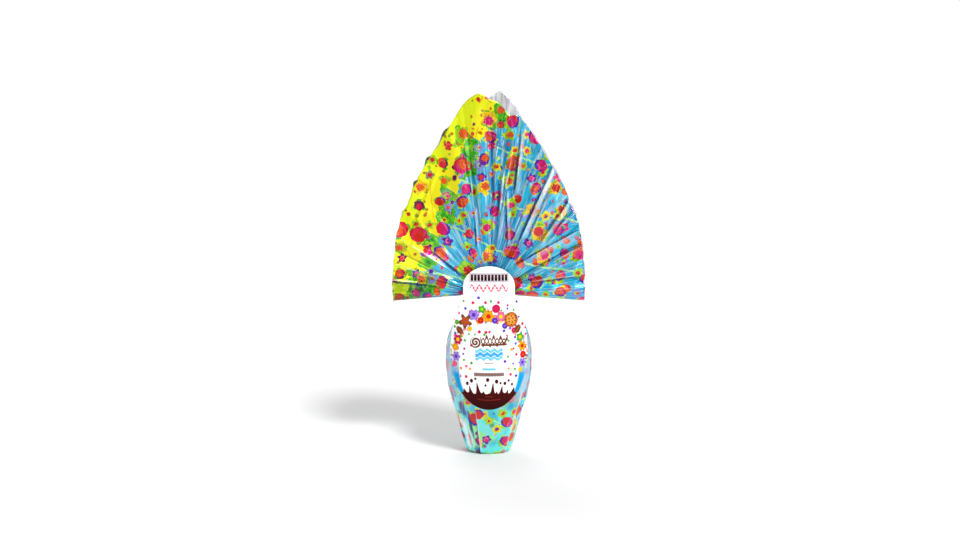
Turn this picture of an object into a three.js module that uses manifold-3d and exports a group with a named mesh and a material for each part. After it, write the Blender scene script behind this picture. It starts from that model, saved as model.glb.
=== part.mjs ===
// A chocolate Easter egg in its gift wrap, in millimetres, +Z up, standing on the floor at the origin.
//
// One square sheet of printed film is laid under a small cup that holds the egg, blunt end up. It is drawn up
// round the cup and the egg and gathered into a neck above the egg, where it is tied. Above the tie the sheet's
// four corners stand up in two pairs. Each pair lies together as one pleated layer, and the two layers, joined
// at their sides, open out into a flat fan. A card label stands in front of the egg. The pack is shut, so the
// film, cup and egg are one solid up to the neck; above the tie the film is a thin wall, open at its rim.
//
// The fan's outline follows from the sheet. A film line that leaves the sheet's centre at an angle from the
// middle of an edge is SHEET_HALF / cos(angle) long. The egg and the neck use up NECK_REACH of it, and the rest
// stands out from the neck. Half an edge, 45 degrees of the sheet, opens over each half of a layer.

import * as THREE from 'three';
import Module from 'manifold-3d';

const wasm = await Module();
wasm.setup();

// ---- Driving dimensions -------------------------------------------------------------------------------------

// The cup and the egg, as the film covers them.
const FOOT_RADIUS = 24.5;
const FOOT_EDGE = 2.5; // rounding where the film turns under the cup
const CUP_RIM_RADIUS = 38.5; // where the film leaves the cup's rim and lies on the egg
const CUP_RIM_HEIGHT = 50;
const EGG_RADIUS = 49;
const EGG_WIDEST_HEIGHT = 115;
const EGG_POINT_REACH = 105; // semi-axis of the lower half, which the cup cuts off
const EGG_BLUNT_REACH = 58; // semi-axis of the upper half
const SHOULDER_HEIGHT = 163; // where the film lifts off the egg towards the neck

// The neck and its tie.
const NECK_RADIUS = 11;
const TIE_HEIGHT = 174;
const TIE_WIDTH = 4.5;
const TIE_TOP = TIE_HEIGHT + TIE_WIDTH / 2;
const TIE_THICKNESS = 1.2;
const TIE_CLEARANCE = 0.5; // between the tie and the gathered film
const TIE_TAIL_LENGTH = 22;
const TIE_TAIL_RADIUS = 1.3;

// The film sheet and the fan it opens into.
const SHEET_HALF = 300;
const NECK_REACH = 190.5;
const FAN_HEIGHT = 183; // height of the point that the pleats radiate from
const FAN_DROOP = 4.5; // degrees that the fan's lower edges hang below the horizontal
const FRONT_TIP_ANGLE = 93; // where the sheet's front corner stands, in degrees from the right
const BACK_TIP_ANGLE = 86.5;
const TIP_BLUNTING = 0.012; // share of each half over which the corner is rounded off
const TIP_GATHER = 1.05; // above 1, the pleats open wider near the tips than at the sides
const FILM_WALL = 1.2;
const ROOT_BEND = 28; // length over which the film turns from the neck into the fan
const FAN_START = 6;
const FAN_HALF_GAP_ROOT = 11; // half the distance between the layers, near the neck and at the rim
const FAN_HALF_GAP_RIM = 6.5;
const FAN_TALLEST = 234; // from that point to the tips
const FAN_LEAN_BACK = 7; // how far the fan's tips lean back
const SIDE_FOLD_SHARE = 0.06; // share of a layer that turns round into the other one at each side
const RIM_WANDER = 1; // the cut edge isn't quite even

// The pleats.
const PLEATS = 30; // in each layer
const PLEAT_DEPTH_NECK = 0.5; // half the relief, crest to valley
const PLEAT_DEPTH_FAN = 2.3;
const PLEAT_DEPTH_RIM = 1.5;
const PLEATS_OPEN_AT = 60; // distance from the tie at which the pleats have opened to their full depth
const DEEP_CREASE_ANGLES = [7.5, 20, 31, 61, 145, 172]; // the deepest valleys of the front layer
const DEEP_CREASE_DEPTH = 2.6;
const DEEP_CREASE_WIDTH = 3.2; // degrees
const SMOOTH_PANEL = [98, 150]; // degrees between which the front layer lies nearly flat
const SMOOTH_PANEL_EDGE = 6; // degrees over which the pleats die away into it
const WRAP_WRINKLE = 0.5; // relief of the long folds on the cup
const CUP_FOLDS = 9;
const SHOULDER_GATHER = 0.7; // relief of the gathers on the egg's shoulder, at the neck

// The card label, as it hangs in front of the egg.
const CARD_THICKNESS = 0.8;
const CARD_HALF_WIDTH = 43.5;
const CARD_WIDEST_HEIGHT = 120;
const CARD_BOTTOM = 57;
const CARD_CROWN_REACH = 87; // upper semi-axis of the card's egg shape
const TAB_HALF_WIDTH = 29;
const TAB_TOP = 218;
const TAB_ROUND = 22; // height of the tab's rounded top
const CARD_BELLY_GAP = 0.4; // film to card where the card is fixed to the belly
const CARD_LEAN_TOP = 27; // how far the tab's top stands back from the belly
const CARD_LEAN_BOTTOM = 5;
const CARD_BEND_RADIUS = 64; // the card is bent round the egg

// ---- Small tools --------------------------------------------------------------------------------------------

const degrees = THREE.MathUtils.degToRad;
const mix = THREE.MathUtils.lerp;
const smooth = THREE.MathUtils.smoothstep;

// A repeatable draw between 0 and 1.
function draw(index, kind) {
  const x = Math.sin(index * 12.9898 + kind * 78.233) * 43758.5453;
  return x - Math.floor(x);
}

// A closed surface through rings of equally many points, with a flat or domed cap at each end. Each four-sided
// patch is split along its shorter diagonal, so that the two faces of a thin wall are split alike.
function loft(rings, startCentre, endCentre) {
  const columns = rings[0].length;
  const positions = rings.flat().concat(startCentre, endCentre).flatMap((p) => p.toArray());
  const start = rings.length * columns;
  const end = start + 1;
  const at = (ring, column) => ring * columns + (column % columns);
  const triangles = [];
  for (let c = 0; c < columns; c++) {
    triangles.push(start, at(0, c + 1), at(0, c));
    triangles.push(end, at(rings.length - 1, c), at(rings.length - 1, c + 1));
  }
  for (let r = 0; r + 1 < rings.length; r++) {
    for (let c = 0; c < columns; c++) {
      const next = (c + 1) % columns;
      const rising = rings[r][c].distanceTo(rings[r + 1][next]);
      const falling = rings[r][next].distanceTo(rings[r + 1][c]);
      if (rising <= falling) {
        triangles.push(at(r, c), at(r, next), at(r + 1, next));
        triangles.push(at(r, c), at(r + 1, next), at(r + 1, c));
      } else {
        triangles.push(at(r, c), at(r, next), at(r + 1, c));
        triangles.push(at(r, next), at(r + 1, next), at(r + 1, c));
      }
    }
  }
  return new THREE.BufferGeometry()
    .setAttribute('position', new THREE.Float32BufferAttribute(positions, 3))
    .setIndex(triangles);
}

// ---- The film: where its columns run ------------------------------------------------------------------------

// Boundaries between the faces of the pleats across one layer, from 0 at one side fold to 1 at the other.
// One of them runs to the layer's tip.
function pleatBoundaries(kind, tip) {
  const widths = Array.from({ length: 2 * PLEATS }, (_, i) => 0.65 + 0.7 * draw(i, kind));
  const total = widths.reduce((sum, width) => sum + width, 0);
  let reached = 0;
  const boundaries = widths.map((width) => {
    const boundary = reached / total;
    reached += width;
    return boundary;
  });
  const fromTip = boundaries.map((boundary) => Math.abs(boundary - tip));
  boundaries[fromTip.indexOf(Math.min(...fromTip))] = tip;
  return boundaries;
}

const tipAcross = (tipAngle) => (180 + FAN_DROOP - tipAngle) / (180 + 2 * FAN_DROOP);

// Every column of the film: across is its place in its layer, side is -1 on the front layer and 1 on the back.
function filmColumns() {
  const column = (across, side, i) => ({ across, side, crest: i % 2 ? 1 : -1, index: i });
  const front = pleatBoundaries(1, tipAcross(FRONT_TIP_ANGLE));
  const back = pleatBoundaries(2, 1 - tipAcross(BACK_TIP_ANGLE));
  return [
    ...front.map((across, i) => column(across, -1, i)),
    ...back.map((across, i) => column(1 - across, 1, i + 2 * PLEATS)),
  ];
}

const columns = filmColumns();

// The column's direction from the egg's axis, and its direction in the fan.
function aroundNeck({ across, side }) {
  const angle = Math.PI * across;
  return new THREE.Vector3(-Math.cos(angle), side * Math.sin(angle), 0);
}

const fanAngle = ({ across }) => 180 + FAN_DROOP - (180 + 2 * FAN_DROOP) * across;

// How far the film reaches from the fan's centre along a column.
function fanReach(column) {
  const tip = column.side < 0 ? FRONT_TIP_ANGLE : BACK_TIP_ANGLE;
  const angle = fanAngle(column);
  const lowerEdge = angle > tip ? 180 + FAN_DROOP : -FAN_DROOP;
  const fromTip = Math.abs((angle - tip) / (lowerEdge - tip));
  const blunted = Math.hypot(fromTip, TIP_BLUNTING) / Math.hypot(1, TIP_BLUNTING);
  const sheetAngle = 45 * (1 - blunted) ** TIP_GATHER;
  return SHEET_HALF / Math.cos(degrees(sheetAngle)) - NECK_REACH;
}

// How far round its side fold a column is: 0 at the fold's edge, 90 degrees where the layer lies flat.
function foldTurn({ across }) {
  const fromSide = Math.min(1, Math.min(across, 1 - across) / SIDE_FOLD_SHARE);
  return Math.acos(1 - fromSide);
}

// How much of its full depth a pleat has: the front layer's smooth panel has little towards the rim.
function pleatShare(column, along) {
  const angle = fanAngle(column);
  const [low, high] = SMOOTH_PANEL;
  const edge = SMOOTH_PANEL_EDGE;
  const inPanel = smooth(angle, low - edge, low + edge) * (1 - smooth(angle, high - edge, high + edge));
  const calm = column.side < 0 ? 1 - 0.75 * inPanel * smooth(along, 0.25, 0.6) : 1;
  const uneven = 0.6 + 0.8 * draw(column.index >> 1, 3);
  return uneven * calm * Math.sin(foldTurn(column));
}

function deepCrease(column, along) {
  if (column.side > 0) return 0;
  const angle = fanAngle(column);
  const nearest = Math.min(...DEEP_CREASE_ANGLES.map((crease) => Math.abs(crease - angle)));
  return DEEP_CREASE_DEPTH * Math.exp(-((nearest / DEEP_CREASE_WIDTH) ** 2)) * smooth(along, 0, 0.15);
}

// ---- The wrapped egg ----------------------------------------------------------------------------------------

// The radius of the film round the cup and the egg at a height.
function wrapRadius(height) {
  if (height < CUP_RIM_HEIGHT) {
    return mix(FOOT_RADIUS, CUP_RIM_RADIUS, height / CUP_RIM_HEIGHT);
  }
  const below = height < EGG_WIDEST_HEIGHT;
  const share = (height - EGG_WIDEST_HEIGHT) / (below ? EGG_POINT_REACH : EGG_BLUNT_REACH);
  return EGG_RADIUS * Math.sqrt(1 - share * share);
}

// Long shallow folds on the cup that die away towards the belly, and gathers that grow towards the neck.
function wrapRelief(column, height) {
  const turn = Math.PI * (column.side < 0 ? column.across : 2 - column.across);
  const onCup = smooth(height, 2, 14) * (1 - smooth(height, 20, 90));
  const onShoulder = smooth(height, EGG_WIDEST_HEIGHT + 15, TIE_HEIGHT);
  const cupFolds = WRAP_WRINKLE * Math.sin(CUP_FOLDS * turn + 0.04 * height);
  return cupFolds * onCup + SHOULDER_GATHER * column.crest * onShoulder;
}

function bodyRing(radius, height) {
  return columns.map((column) =>
    aroundNeck(column).multiplyScalar(radius + wrapRelief(column, height)).setZ(height),
  );
}

// Rings from the foot up to the tie's top.
function bodyRings() {
  const flatFoot = FOOT_RADIUS - FOOT_EDGE;
  const rings = [
    columns.map((column) => aroundNeck(column).multiplyScalar(flatFoot).setZ(0)),
    bodyRing(wrapRadius(FOOT_EDGE) - FOOT_EDGE * 0.3, FOOT_EDGE * 0.3),
    bodyRing(wrapRadius(FOOT_EDGE), FOOT_EDGE),
  ];
  for (const height of [12, 26, 40, CUP_RIM_HEIGHT, 64, 80, 98, EGG_WIDEST_HEIGHT, 130, 143, 154, SHOULDER_HEIGHT]) {
    rings.push(bodyRing(wrapRadius(height), height));
  }
  const shoulder = wrapRadius(SHOULDER_HEIGHT);
  const tieFoot = TIE_HEIGHT - TIE_WIDTH / 2;
  for (const share of [0.4, 0.75]) {
    const radius = mix(shoulder, NECK_RADIUS, share ** 0.75);
    rings.push(bodyRing(radius, mix(SHOULDER_HEIGHT, tieFoot, share)));
  }
  for (const height of [tieFoot, TIE_TOP]) {
    rings.push(bodyRing(NECK_RADIUS, height));
  }
  return rings;
}

// The way out of the film: round the neck it points away from the neck's middle, and in the fan it is square to
// the layer, turning through the edge of the side fold into the other layer.
function outward(column, angle, turned) {
  const fold = foldTurn(column);
  const edge = (column.across < 0.5 ? 1 : -1) * Math.cos(fold);
  const inFan = new THREE.Vector3(-Math.sin(angle) * edge, column.side * Math.sin(fold), Math.cos(angle) * edge);
  return aroundNeck(column).lerp(inFan, turned).normalize();
}

// A point of the fan's outer face, or of the film's inner face. Distance is along the film from the tie.
function fanPoint(column, distance, inset) {
  const along = distance / (fanReach(column) - FAN_START);
  const turned = smooth(distance, 0, ROOT_BEND);
  const radius = FAN_START + distance;
  const angle = degrees(fanAngle(column));
  const layer = Math.sin(foldTurn(column));

  const halfGap = mix(FAN_HALF_GAP_ROOT, FAN_HALF_GAP_RIM, smooth(along, 0.1, 1));
  const height = radius * Math.sin(angle);
  const lean = FAN_LEAN_BACK * (Math.max(0, height) / FAN_TALLEST) ** 2;
  const inFan = new THREE.Vector3(
    radius * Math.cos(angle),
    column.side * halfGap * layer + lean,
    FAN_HEIGHT + height,
  );
  const inNeck = aroundNeck(column).multiplyScalar(NECK_RADIUS).setZ(TIE_TOP + distance);

  const opened = mix(PLEAT_DEPTH_NECK, PLEAT_DEPTH_FAN, smooth(distance, 4, PLEATS_OPEN_AT));
  const depth = mix(opened, PLEAT_DEPTH_RIM, smooth(along, 0.5, 1));
  const relief = column.crest * depth * pleatShare(column, along) - deepCrease(column, along) * layer;
  return inNeck
    .lerp(inFan, turned)
    .addScaledVector(new THREE.Vector3(0, column.side, 0), relief * turned)
    .addScaledVector(aroundNeck(column), column.crest * PLEAT_DEPTH_NECK * (1 - turned))
    .addScaledVector(outward(column, angle, turned), -inset);
}

// A ring of the fan, at a share of the way from the tie to each column's own rim.
function fanRing(share, inset) {
  return columns.map((column) => {
    const rim = fanReach(column) - FAN_START + RIM_WANDER * (2 * draw(column.index, 5) - 1);
    return fanPoint(column, share * rim, inset);
  });
}

function wrappedEgg() {
  const root = [0.03, 0.07];
  const open = [0.12, 0.18, 0.27, 0.38, 0.52, 0.68, 0.84, 1];
  const outside = [...root, ...open].map((share) => fanRing(share, 0));
  const inside = open.toReversed().map((share) => fanRing(share, FILM_WALL));
  const pocketFloor = inside.at(-1).reduce((sum, p) => sum.add(p), new THREE.Vector3());
  pocketFloor.divideScalar(columns.length);
  return loft([...bodyRings(), ...outside, ...inside], new THREE.Vector3(0, 0, 0), pocketFloor);
}

// ---- The card label -----------------------------------------------------------------------------------------

// Half the card's width at a height: an egg shape, with a round-topped tab rising from its crown.
function cardHalfWidth(height) {
  const fromWidest = height - CARD_WIDEST_HEIGHT;
  const reach = fromWidest < 0 ? CARD_WIDEST_HEIGHT - CARD_BOTTOM : CARD_CROWN_REACH;
  const egg = CARD_HALF_WIDTH * Math.sqrt(Math.max(0, 1 - (fromWidest / reach) ** 2));
  const intoRound = Math.max(0, height - (TAB_TOP - TAB_ROUND)) / TAB_ROUND;
  const tab = height > CARD_WIDEST_HEIGHT ? TAB_HALF_WIDTH * Math.sqrt(Math.max(0, 1 - intoRound ** 2)) : 0;
  return Math.max(egg, tab);
}

// The card's back face: fixed to the belly, leaning back towards the neck above it, bent round the egg.
function cardDepth(x, height) {
  const belly = -(EGG_RADIUS + CARD_BELLY_GAP);
  const up = Math.max(0, (height - EGG_WIDEST_HEIGHT) / (TAB_TOP - EGG_WIDEST_HEIGHT));
  const down = Math.max(0, (EGG_WIDEST_HEIGHT - height) / (EGG_WIDEST_HEIGHT - CARD_BOTTOM));
  const lean = CARD_LEAN_TOP * up ** 1.35 + CARD_LEAN_BOTTOM * down ** 2;
  const bend = CARD_BEND_RADIUS - Math.sqrt(CARD_BEND_RADIUS ** 2 - x * x);
  return belly + lean + bend * mix(1, 0.55, smooth(up, 0.3, 1));
}

function labelCard() {
  const rows = 34;
  const across = 14;
  const ringAt = (row) => {
    const share = (1 - Math.cos((Math.PI * row) / rows)) / 2; // closer rows at the round top and bottom
    const height = mix(CARD_BOTTOM, TAB_TOP, share);
    const half = cardHalfWidth(height);
    const faceAt = (column, thickness) => {
      const x = half * mix(-1, 1, column / across);
      return new THREE.Vector3(x, cardDepth(x, height) - thickness, height);
    };
    const steps = Array.from({ length: across + 1 }, (_, i) => i);
    return [
      ...steps.map((column) => faceAt(column, CARD_THICKNESS)),
      ...steps.reverse().map((column) => faceAt(column, 0)),
    ];
  };
  const rings = Array.from({ length: rows - 1 }, (_, i) => ringAt(i + 1));
  const end = (height) => new THREE.Vector3(0, cardDepth(0, height) - CARD_THICKNESS / 2, height);
  return loft(rings, end(CARD_BOTTOM), end(TAB_TOP));
}

// ---- The tie ------------------------------------------------------------------------------------------------

function toSolid(geometry) {
  return new wasm.Manifold(
    new wasm.Mesh({
      numProp: 3,
      vertProperties: new Float32Array(geometry.attributes.position.array),
      triVerts: new Uint32Array(geometry.index.array),
    }),
  );
}

function toGeometry(solid) {
  const { vertProperties, triVerts } = solid.getMesh();
  return new THREE.BufferGeometry()
    .setAttribute('position', new THREE.BufferAttribute(vertProperties, 3))
    .setIndex(new THREE.BufferAttribute(triVerts, 1));
}

// A flat band round the neck.
function tieBand() {
  const steps = 48;
  const inside = NECK_RADIUS + SHOULDER_GATHER + TIE_CLEARANCE;
  const outside = inside + TIE_THICKNESS;
  const low = TIE_HEIGHT - TIE_WIDTH / 2 + 0.4;
  const high = TIE_TOP - 0.4;
  const profile = [[inside, low], [outside, low], [outside, high], [inside, high]];
  const positions = [];
  const triangles = [];
  for (let i = 0; i < steps; i++) {
    const angle = (2 * Math.PI * i) / steps;
    for (const [radius, height] of profile) {
      positions.push(radius * Math.cos(angle), radius * Math.sin(angle), height);
    }
    for (let side = 0; side < 4; side++) {
      const a = 4 * i + side;
      const b = 4 * i + ((side + 1) % 4);
      const c = 4 * ((i + 1) % steps) + ((side + 1) % 4);
      const d = 4 * ((i + 1) % steps) + side;
      triangles.push(a, c, b, a, d, c);
    }
  }
  return new THREE.BufferGeometry()
    .setAttribute('position', new THREE.Float32BufferAttribute(positions, 3))
    .setIndex(triangles);
}

// The tie's two ends, twisted together behind the neck and bent down.
function tieTail() {
  const start = NECK_RADIUS + SHOULDER_GATHER + TIE_CLEARANCE + TIE_THICKNESS / 2;
  const rings = [];
  const steps = 14;
  const corners = 6;
  for (let i = 0; i <= steps; i++) {
    const share = i / steps;
    const centre = new THREE.Vector3(1.5 * share, start + TIE_TAIL_LENGTH * 0.75 * share, TIE_HEIGHT - 7 * share ** 2);
    const twist = 2.5 * Math.PI * share;
    rings.push(
      Array.from({ length: corners }, (_, k) => {
        const angle = (2 * Math.PI * k) / corners;
        const wide = TIE_TAIL_RADIUS * Math.cos(angle);
        const thin = TIE_TAIL_RADIUS * 0.6 * Math.sin(angle);
        return new THREE.Vector3(
          centre.x - wide * Math.cos(twist) + thin * Math.sin(twist),
          centre.y,
          centre.z + wide * Math.sin(twist) + thin * Math.cos(twist),
        );
      }),
    );
  }
  const middle = (ring) => ring.reduce((sum, p) => sum.add(p), new THREE.Vector3()).divideScalar(corners);
  return loft(rings, middle(rings[0]), middle(rings.at(-1)));
}

function neckTie() {
  return toGeometry(toSolid(tieBand()).add(toSolid(tieTail())));
}

// ---- The finished object ------------------------------------------------------------------------------------

function piece(name, geometry, colour, roughness, metalness) {
  const material = new THREE.MeshStandardMaterial({ color: colour, roughness, metalness });
  geometry.computeVertexNormals();
  const mesh = new THREE.Mesh(geometry, material);
  mesh.name = name;
  return mesh;
}

const easterEgg = new THREE.Group();
easterEgg.name = 'wrapped_chocolate_egg';
easterEgg.add(
  piece('wrapped_egg', wrappedEgg(), 0x2ba9e0, 0.3, 0.6),
  piece('label_card', labelCard(), 0xfaf6f2, 0.55, 0),
  piece('neck_tie', neckTie(), 0xf2f2f2, 0.4, 0),
);

export default easterEgg;
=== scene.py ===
"""A chocolate Easter egg in its gift wrap: printed film with a pleated fan, a card label and a neck tie.

Sizes are in millimetres and are turned into metres as each piece is made. The film is one sheet. Three maps
on each of its pieces keep its coordinates: "print", which the scattered motifs follow, "sheet", the distance
of a point from the sheet's middle towards its left and upper edges, and "folds", across and along the pleats.
"""

import math
from functools import partial

import bpy
import numpy as np
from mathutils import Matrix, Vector


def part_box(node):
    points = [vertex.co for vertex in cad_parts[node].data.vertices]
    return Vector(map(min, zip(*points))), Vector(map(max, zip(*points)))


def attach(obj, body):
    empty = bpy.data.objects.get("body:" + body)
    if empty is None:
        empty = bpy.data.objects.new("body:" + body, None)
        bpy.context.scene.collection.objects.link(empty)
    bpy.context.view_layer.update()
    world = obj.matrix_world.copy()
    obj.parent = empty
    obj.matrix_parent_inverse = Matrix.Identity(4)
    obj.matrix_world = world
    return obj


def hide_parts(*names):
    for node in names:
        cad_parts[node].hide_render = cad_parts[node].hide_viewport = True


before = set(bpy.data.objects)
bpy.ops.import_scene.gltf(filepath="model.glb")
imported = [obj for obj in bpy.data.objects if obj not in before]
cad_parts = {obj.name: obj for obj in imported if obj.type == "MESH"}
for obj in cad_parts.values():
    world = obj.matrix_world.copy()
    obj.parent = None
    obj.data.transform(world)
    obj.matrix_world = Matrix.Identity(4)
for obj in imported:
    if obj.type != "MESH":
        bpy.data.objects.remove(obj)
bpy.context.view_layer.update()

MM = 0.001

# The cup and the egg, as the film covers them.
FOOT_RADIUS = 24.5
FOOT_EDGE = 2.5
CUP_RIM_RADIUS = 38.5
CUP_RIM_HEIGHT = 50
EGG_RADIUS = 49
EGG_WIDEST_HEIGHT = 115
EGG_POINT_REACH = 105
EGG_BLUNT_REACH = 58
SHOULDER_HEIGHT = 163

# The neck and the fan.
NECK_RADIUS = 11
TIE_HEIGHT = 174
TIE_WIDTH = 4.5
TIE_TOP = TIE_HEIGHT + TIE_WIDTH / 2
TIE_FOOT = TIE_HEIGHT - TIE_WIDTH / 2
SHEET_HALF = 300
NECK_REACH = 190.5
FAN_HEIGHT = 183
FAN_DROOP = 4.5
FAN_LOW, FAN_HIGH = -FAN_DROOP, 180 + FAN_DROOP  # degrees from the right to the left side fold
TIP_ANGLE = {"front": 93, "back": 86.5}
TIP_BLUNTING = 0.012
TIP_GATHER = 1.05
ROOT_BEND = 28
FAN_START = 6
FAN_HALF_GAP_ROOT = 11
FAN_HALF_GAP_RIM = 6.5
FAN_TALLEST = 234
FAN_LEAN_BACK = 7
SIDE_FOLD_SHARE = 0.06
FILM_THICKNESS = 0.15

# The card label.
CARD_THICKNESS = 0.7
CARD_HALF_WIDTH = 43.5
CARD_WIDEST_HEIGHT = 120
CARD_BOTTOM = 57
CARD_CROWN_REACH = 87
TAB_HALF_WIDTH = 29
TAB_TOP = 218
TAB_ROUND = 22
CARD_LEAN_TOP = 27
CARD_LEAN_BOTTOM = 5
CARD_BELLY_GAP = 0.5
CARD_BEND_RADIUS = 64

# How finely the film is modelled, and the maps that it carries.
WRAP_COLUMNS = 430
FAN_ROWS = 112
FAN_POINTS = 48000
FAN_COLUMN_STEP = 0.62  # degrees
WELD_DISTANCE = 0.002  # points that lie closer are joined
FILM_MAPS = ("print", "sheet", "folds")


# ---- Small tools ---------------------------------------------------------------------------------


def smooth(x, low, high):
    """0 below low and 1 above high, with a soft step between."""
    t = np.clip((x - low) / (high - low), 0, 1)
    return t * t * (3 - 2 * t)


def span(x, low, full, fading, gone):
    """1 from full to fading, 0 below low and from gone on, with soft steps between."""
    return smooth(x, low, full) * (1 - smooth(x, fading, gone))


def mix(a, b, share):
    return a + (b - a) * share


def wander(x, y, length, seed):
    """A smooth field between about -1 and 1 that changes over the given length."""
    chance = np.random.default_rng(seed)
    total = 0 * (x + y)
    for _ in range(8):
        turn, phase = chance.uniform(0, 2 * math.pi, 2)
        pitch = length * chance.uniform(0.7, 1.6)
        total = total + np.sin(2 * math.pi * (x * math.cos(turn) + y * math.sin(turn)) / pitch + phase)
    return total / 4


def fold_lines(first, last, count, unevenness, seed):
    """Places of fold lines from first to last and how far each stands out, crest after valley."""
    chance = np.random.default_rng(seed)
    widths = 1 + unevenness * chance.uniform(-1, 1, count)
    places = first + (last - first) * np.concatenate([[0], np.cumsum(widths)]) / widths.sum()
    heights = np.where(np.arange(count + 1) % 2, 1, -1) * chance.uniform(0.45, 1.15, count + 1)
    return places, heights


def beside(x, y, start, end):
    """Where each point lies by a line: the share of the way along it, and the distance to its right."""
    (x0, y0), (x1, y1) = start, end
    run = math.hypot(x1 - x0, y1 - y0)
    ux, uy = (x1 - x0) / run, (y1 - y0) / run
    return ((x - x0) * ux + (y - y0) * uy) / run, (x - x0) * uy - (y - y0) * ux


def choose(*pieces):
    """Selects these pieces alone."""
    if bpy.context.object and bpy.context.object.mode != "OBJECT":
        bpy.ops.object.mode_set(mode="OBJECT")
    bpy.ops.object.select_all(action="DESELECT")
    for piece in pieces:
        piece.select_set(True)
        bpy.context.view_layer.objects.active = piece


def edit_all(piece, step, **settings):
    """Runs an edit mode step on the whole piece."""
    choose(piece)
    bpy.ops.object.mode_set(mode="EDIT")
    bpy.ops.mesh.select_all(action="SELECT")
    step(**settings)
    bpy.ops.object.mode_set(mode="OBJECT")


def new_piece(name):
    """Names the piece that was just added."""
    piece = bpy.context.object
    piece.name = name
    piece.data.name = name
    return piece


def apply_modifier(piece, kind, **settings):
    modifier = piece.modifiers.new(kind.title(), kind)
    for key, value in settings.items():
        setattr(modifier, key, value)
    bpy.context.view_layer.objects.active = piece
    bpy.ops.object.modifier_apply(modifier=modifier.name)


def round_edges(piece, width, angle):
    apply_modifier(
        piece, "BEVEL", width=width * MM, segments=2, limit_method="ANGLE", angle_limit=math.radians(angle)
    )


def smooth_faces(piece, angle):
    choose(piece)
    bpy.ops.object.shade_smooth_by_angle(angle=math.radians(angle))


def give_materials(piece, *materials):
    for material in materials:
        piece.data.materials.append(material)


def flat_sheet(name, columns, rows):
    """A flat grid, and for each of its points the column and the row that it stands on."""
    choose()
    bpy.ops.mesh.primitive_grid_add(
        x_subdivisions=columns - 1, y_subdivisions=rows - 1, size=2, calc_uvs=False
    )
    piece = new_piece(name)
    flat = np.empty(len(piece.data.vertices) * 3)
    piece.data.vertices.foreach_get("co", flat)
    column, row = (
        np.rint((flat[axis::3] + 1) / 2 * (count - 1)).astype(int)
        for axis, count in enumerate((columns, rows))
    )
    return piece, column, row


def fold_sheet(piece, *places):
    """Moves the points of a flat sheet to their places: x, y and z in millimetres."""
    piece.data.vertices.foreach_set("co", (np.column_stack(places) * MM).ravel())
    piece.data.update()


def face_corners(piece, column):
    """For each corner of the sheet's four-sided faces, its point and the lowest column of its face."""
    points = np.empty(len(piece.data.loops), dtype=int)
    piece.data.loops.foreach_get("vertex_index", points)
    return points, column[points].reshape(-1, 4).min(axis=1).repeat(4)


def face_towards(piece, side):
    """Turns the faces over if they look away from the side: -1 is the front, 1 the back."""
    normals = np.empty(len(piece.data.polygons) * 3)
    piece.data.polygons.foreach_get("normal", normals)
    if normals[1::3].mean() * side < 0:
        piece.data.flip_normals()


def keep_map(piece, name, u, v):
    """Keeps two coordinates, in millimetres, for each face corner."""
    layer = piece.data.uv_layers.new(name=name)
    layer.data.foreach_set("uv", np.column_stack([u, v]).astype(np.float32).ravel())


def keep_value(piece, name, values):
    """Keeps one value for each point of the piece."""
    attribute = piece.data.attributes.new(name, "FLOAT", "POINT")
    attribute.data.foreach_set("value", values.astype(np.float32))


def crease_strength(relief, angle, radius, column, row, reach):
    """How sharply the film is folded at each point: towards 1 on a crest and towards -1 in a valley.

    The relief is compared with its mean at the given reach on both sides, in the point's own row.
    """
    strength = np.empty(len(row))
    for points in np.lexsort((column, row)).reshape(row.max() + 1, -1):
        points = points[np.argsort(angle[points])]
        step = np.degrees(reach / np.clip(radius[points], 8, None))
        sides = [np.interp(angle[points] + way, angle[points], relief[points]) for way in (-step, step)]
        strength[points] = relief[points] - sum(sides) / 2
    return np.clip(strength, -1, 1)


# ---- The shader kit ------------------------------------------------------------------------------


class Field:
    """A shader value that is added, multiplied and so on like a number. Each step becomes a node."""

    def __init__(self, socket):
        self.socket = socket
        self.tree = socket.id_data

    def __add__(self, other):
        return calc("ADD", self, other)

    def __sub__(self, other):
        return calc("SUBTRACT", self, other)

    def __rsub__(self, other):
        return calc("SUBTRACT", other, self)

    def __mul__(self, other):
        return calc("MULTIPLY", self, other)

    def __truediv__(self, other):
        return calc("DIVIDE", self, other)

    def __pow__(self, other):
        return calc("POWER", self, other)

    def __neg__(self):
        return self * -1

    def __abs__(self):
        return calc("ABSOLUTE", self)

    __radd__ = __add__
    __rmul__ = __mul__


def put(socket, value):
    """Links a value into a socket, or sets it there."""
    if isinstance(value, Field):
        socket.id_data.links.new(value.socket, socket)
    else:
        socket.default_value = value


def add(tree, kind, inputs=None, **settings):
    """A new node, with these inputs and settings."""
    node = tree.nodes.new("ShaderNode" + kind)
    for key, value in settings.items():
        setattr(node, key, value)
    for key, value in (inputs or {}).items():
        put(node.inputs[key], value)
    return node


def output(tree, kind, inputs=None, name=0, **settings):
    """One output of a new node, by its name or number."""
    return Field(add(tree, kind, inputs, **settings).outputs[name])


def tree_of(*values):
    return next(value.tree for value in values if isinstance(value, Field))


def calc(operation, *values, kind="Math"):
    return output(tree_of(*values), kind, dict(enumerate(values)), operation=operation)


sine = partial(calc, "SINE")
cosine = partial(calc, "COSINE")
arctan = partial(calc, "ARCTAN2")
larger = partial(calc, "MAXIMUM")
zigzag = partial(calc, "PINGPONG")
vector_calc = partial(calc, kind="VectorMath")


def ink(red, green, blue):
    """A printed colour, given as 0 to 255 on a screen, as the shader reads it."""
    channels = [c / 255 for c in (red, green, blue)]
    return tuple(c / 12.92 if c <= 0.04045 else ((c + 0.055) / 1.055) ** 2.4 for c in channels) + (1,)


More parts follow.
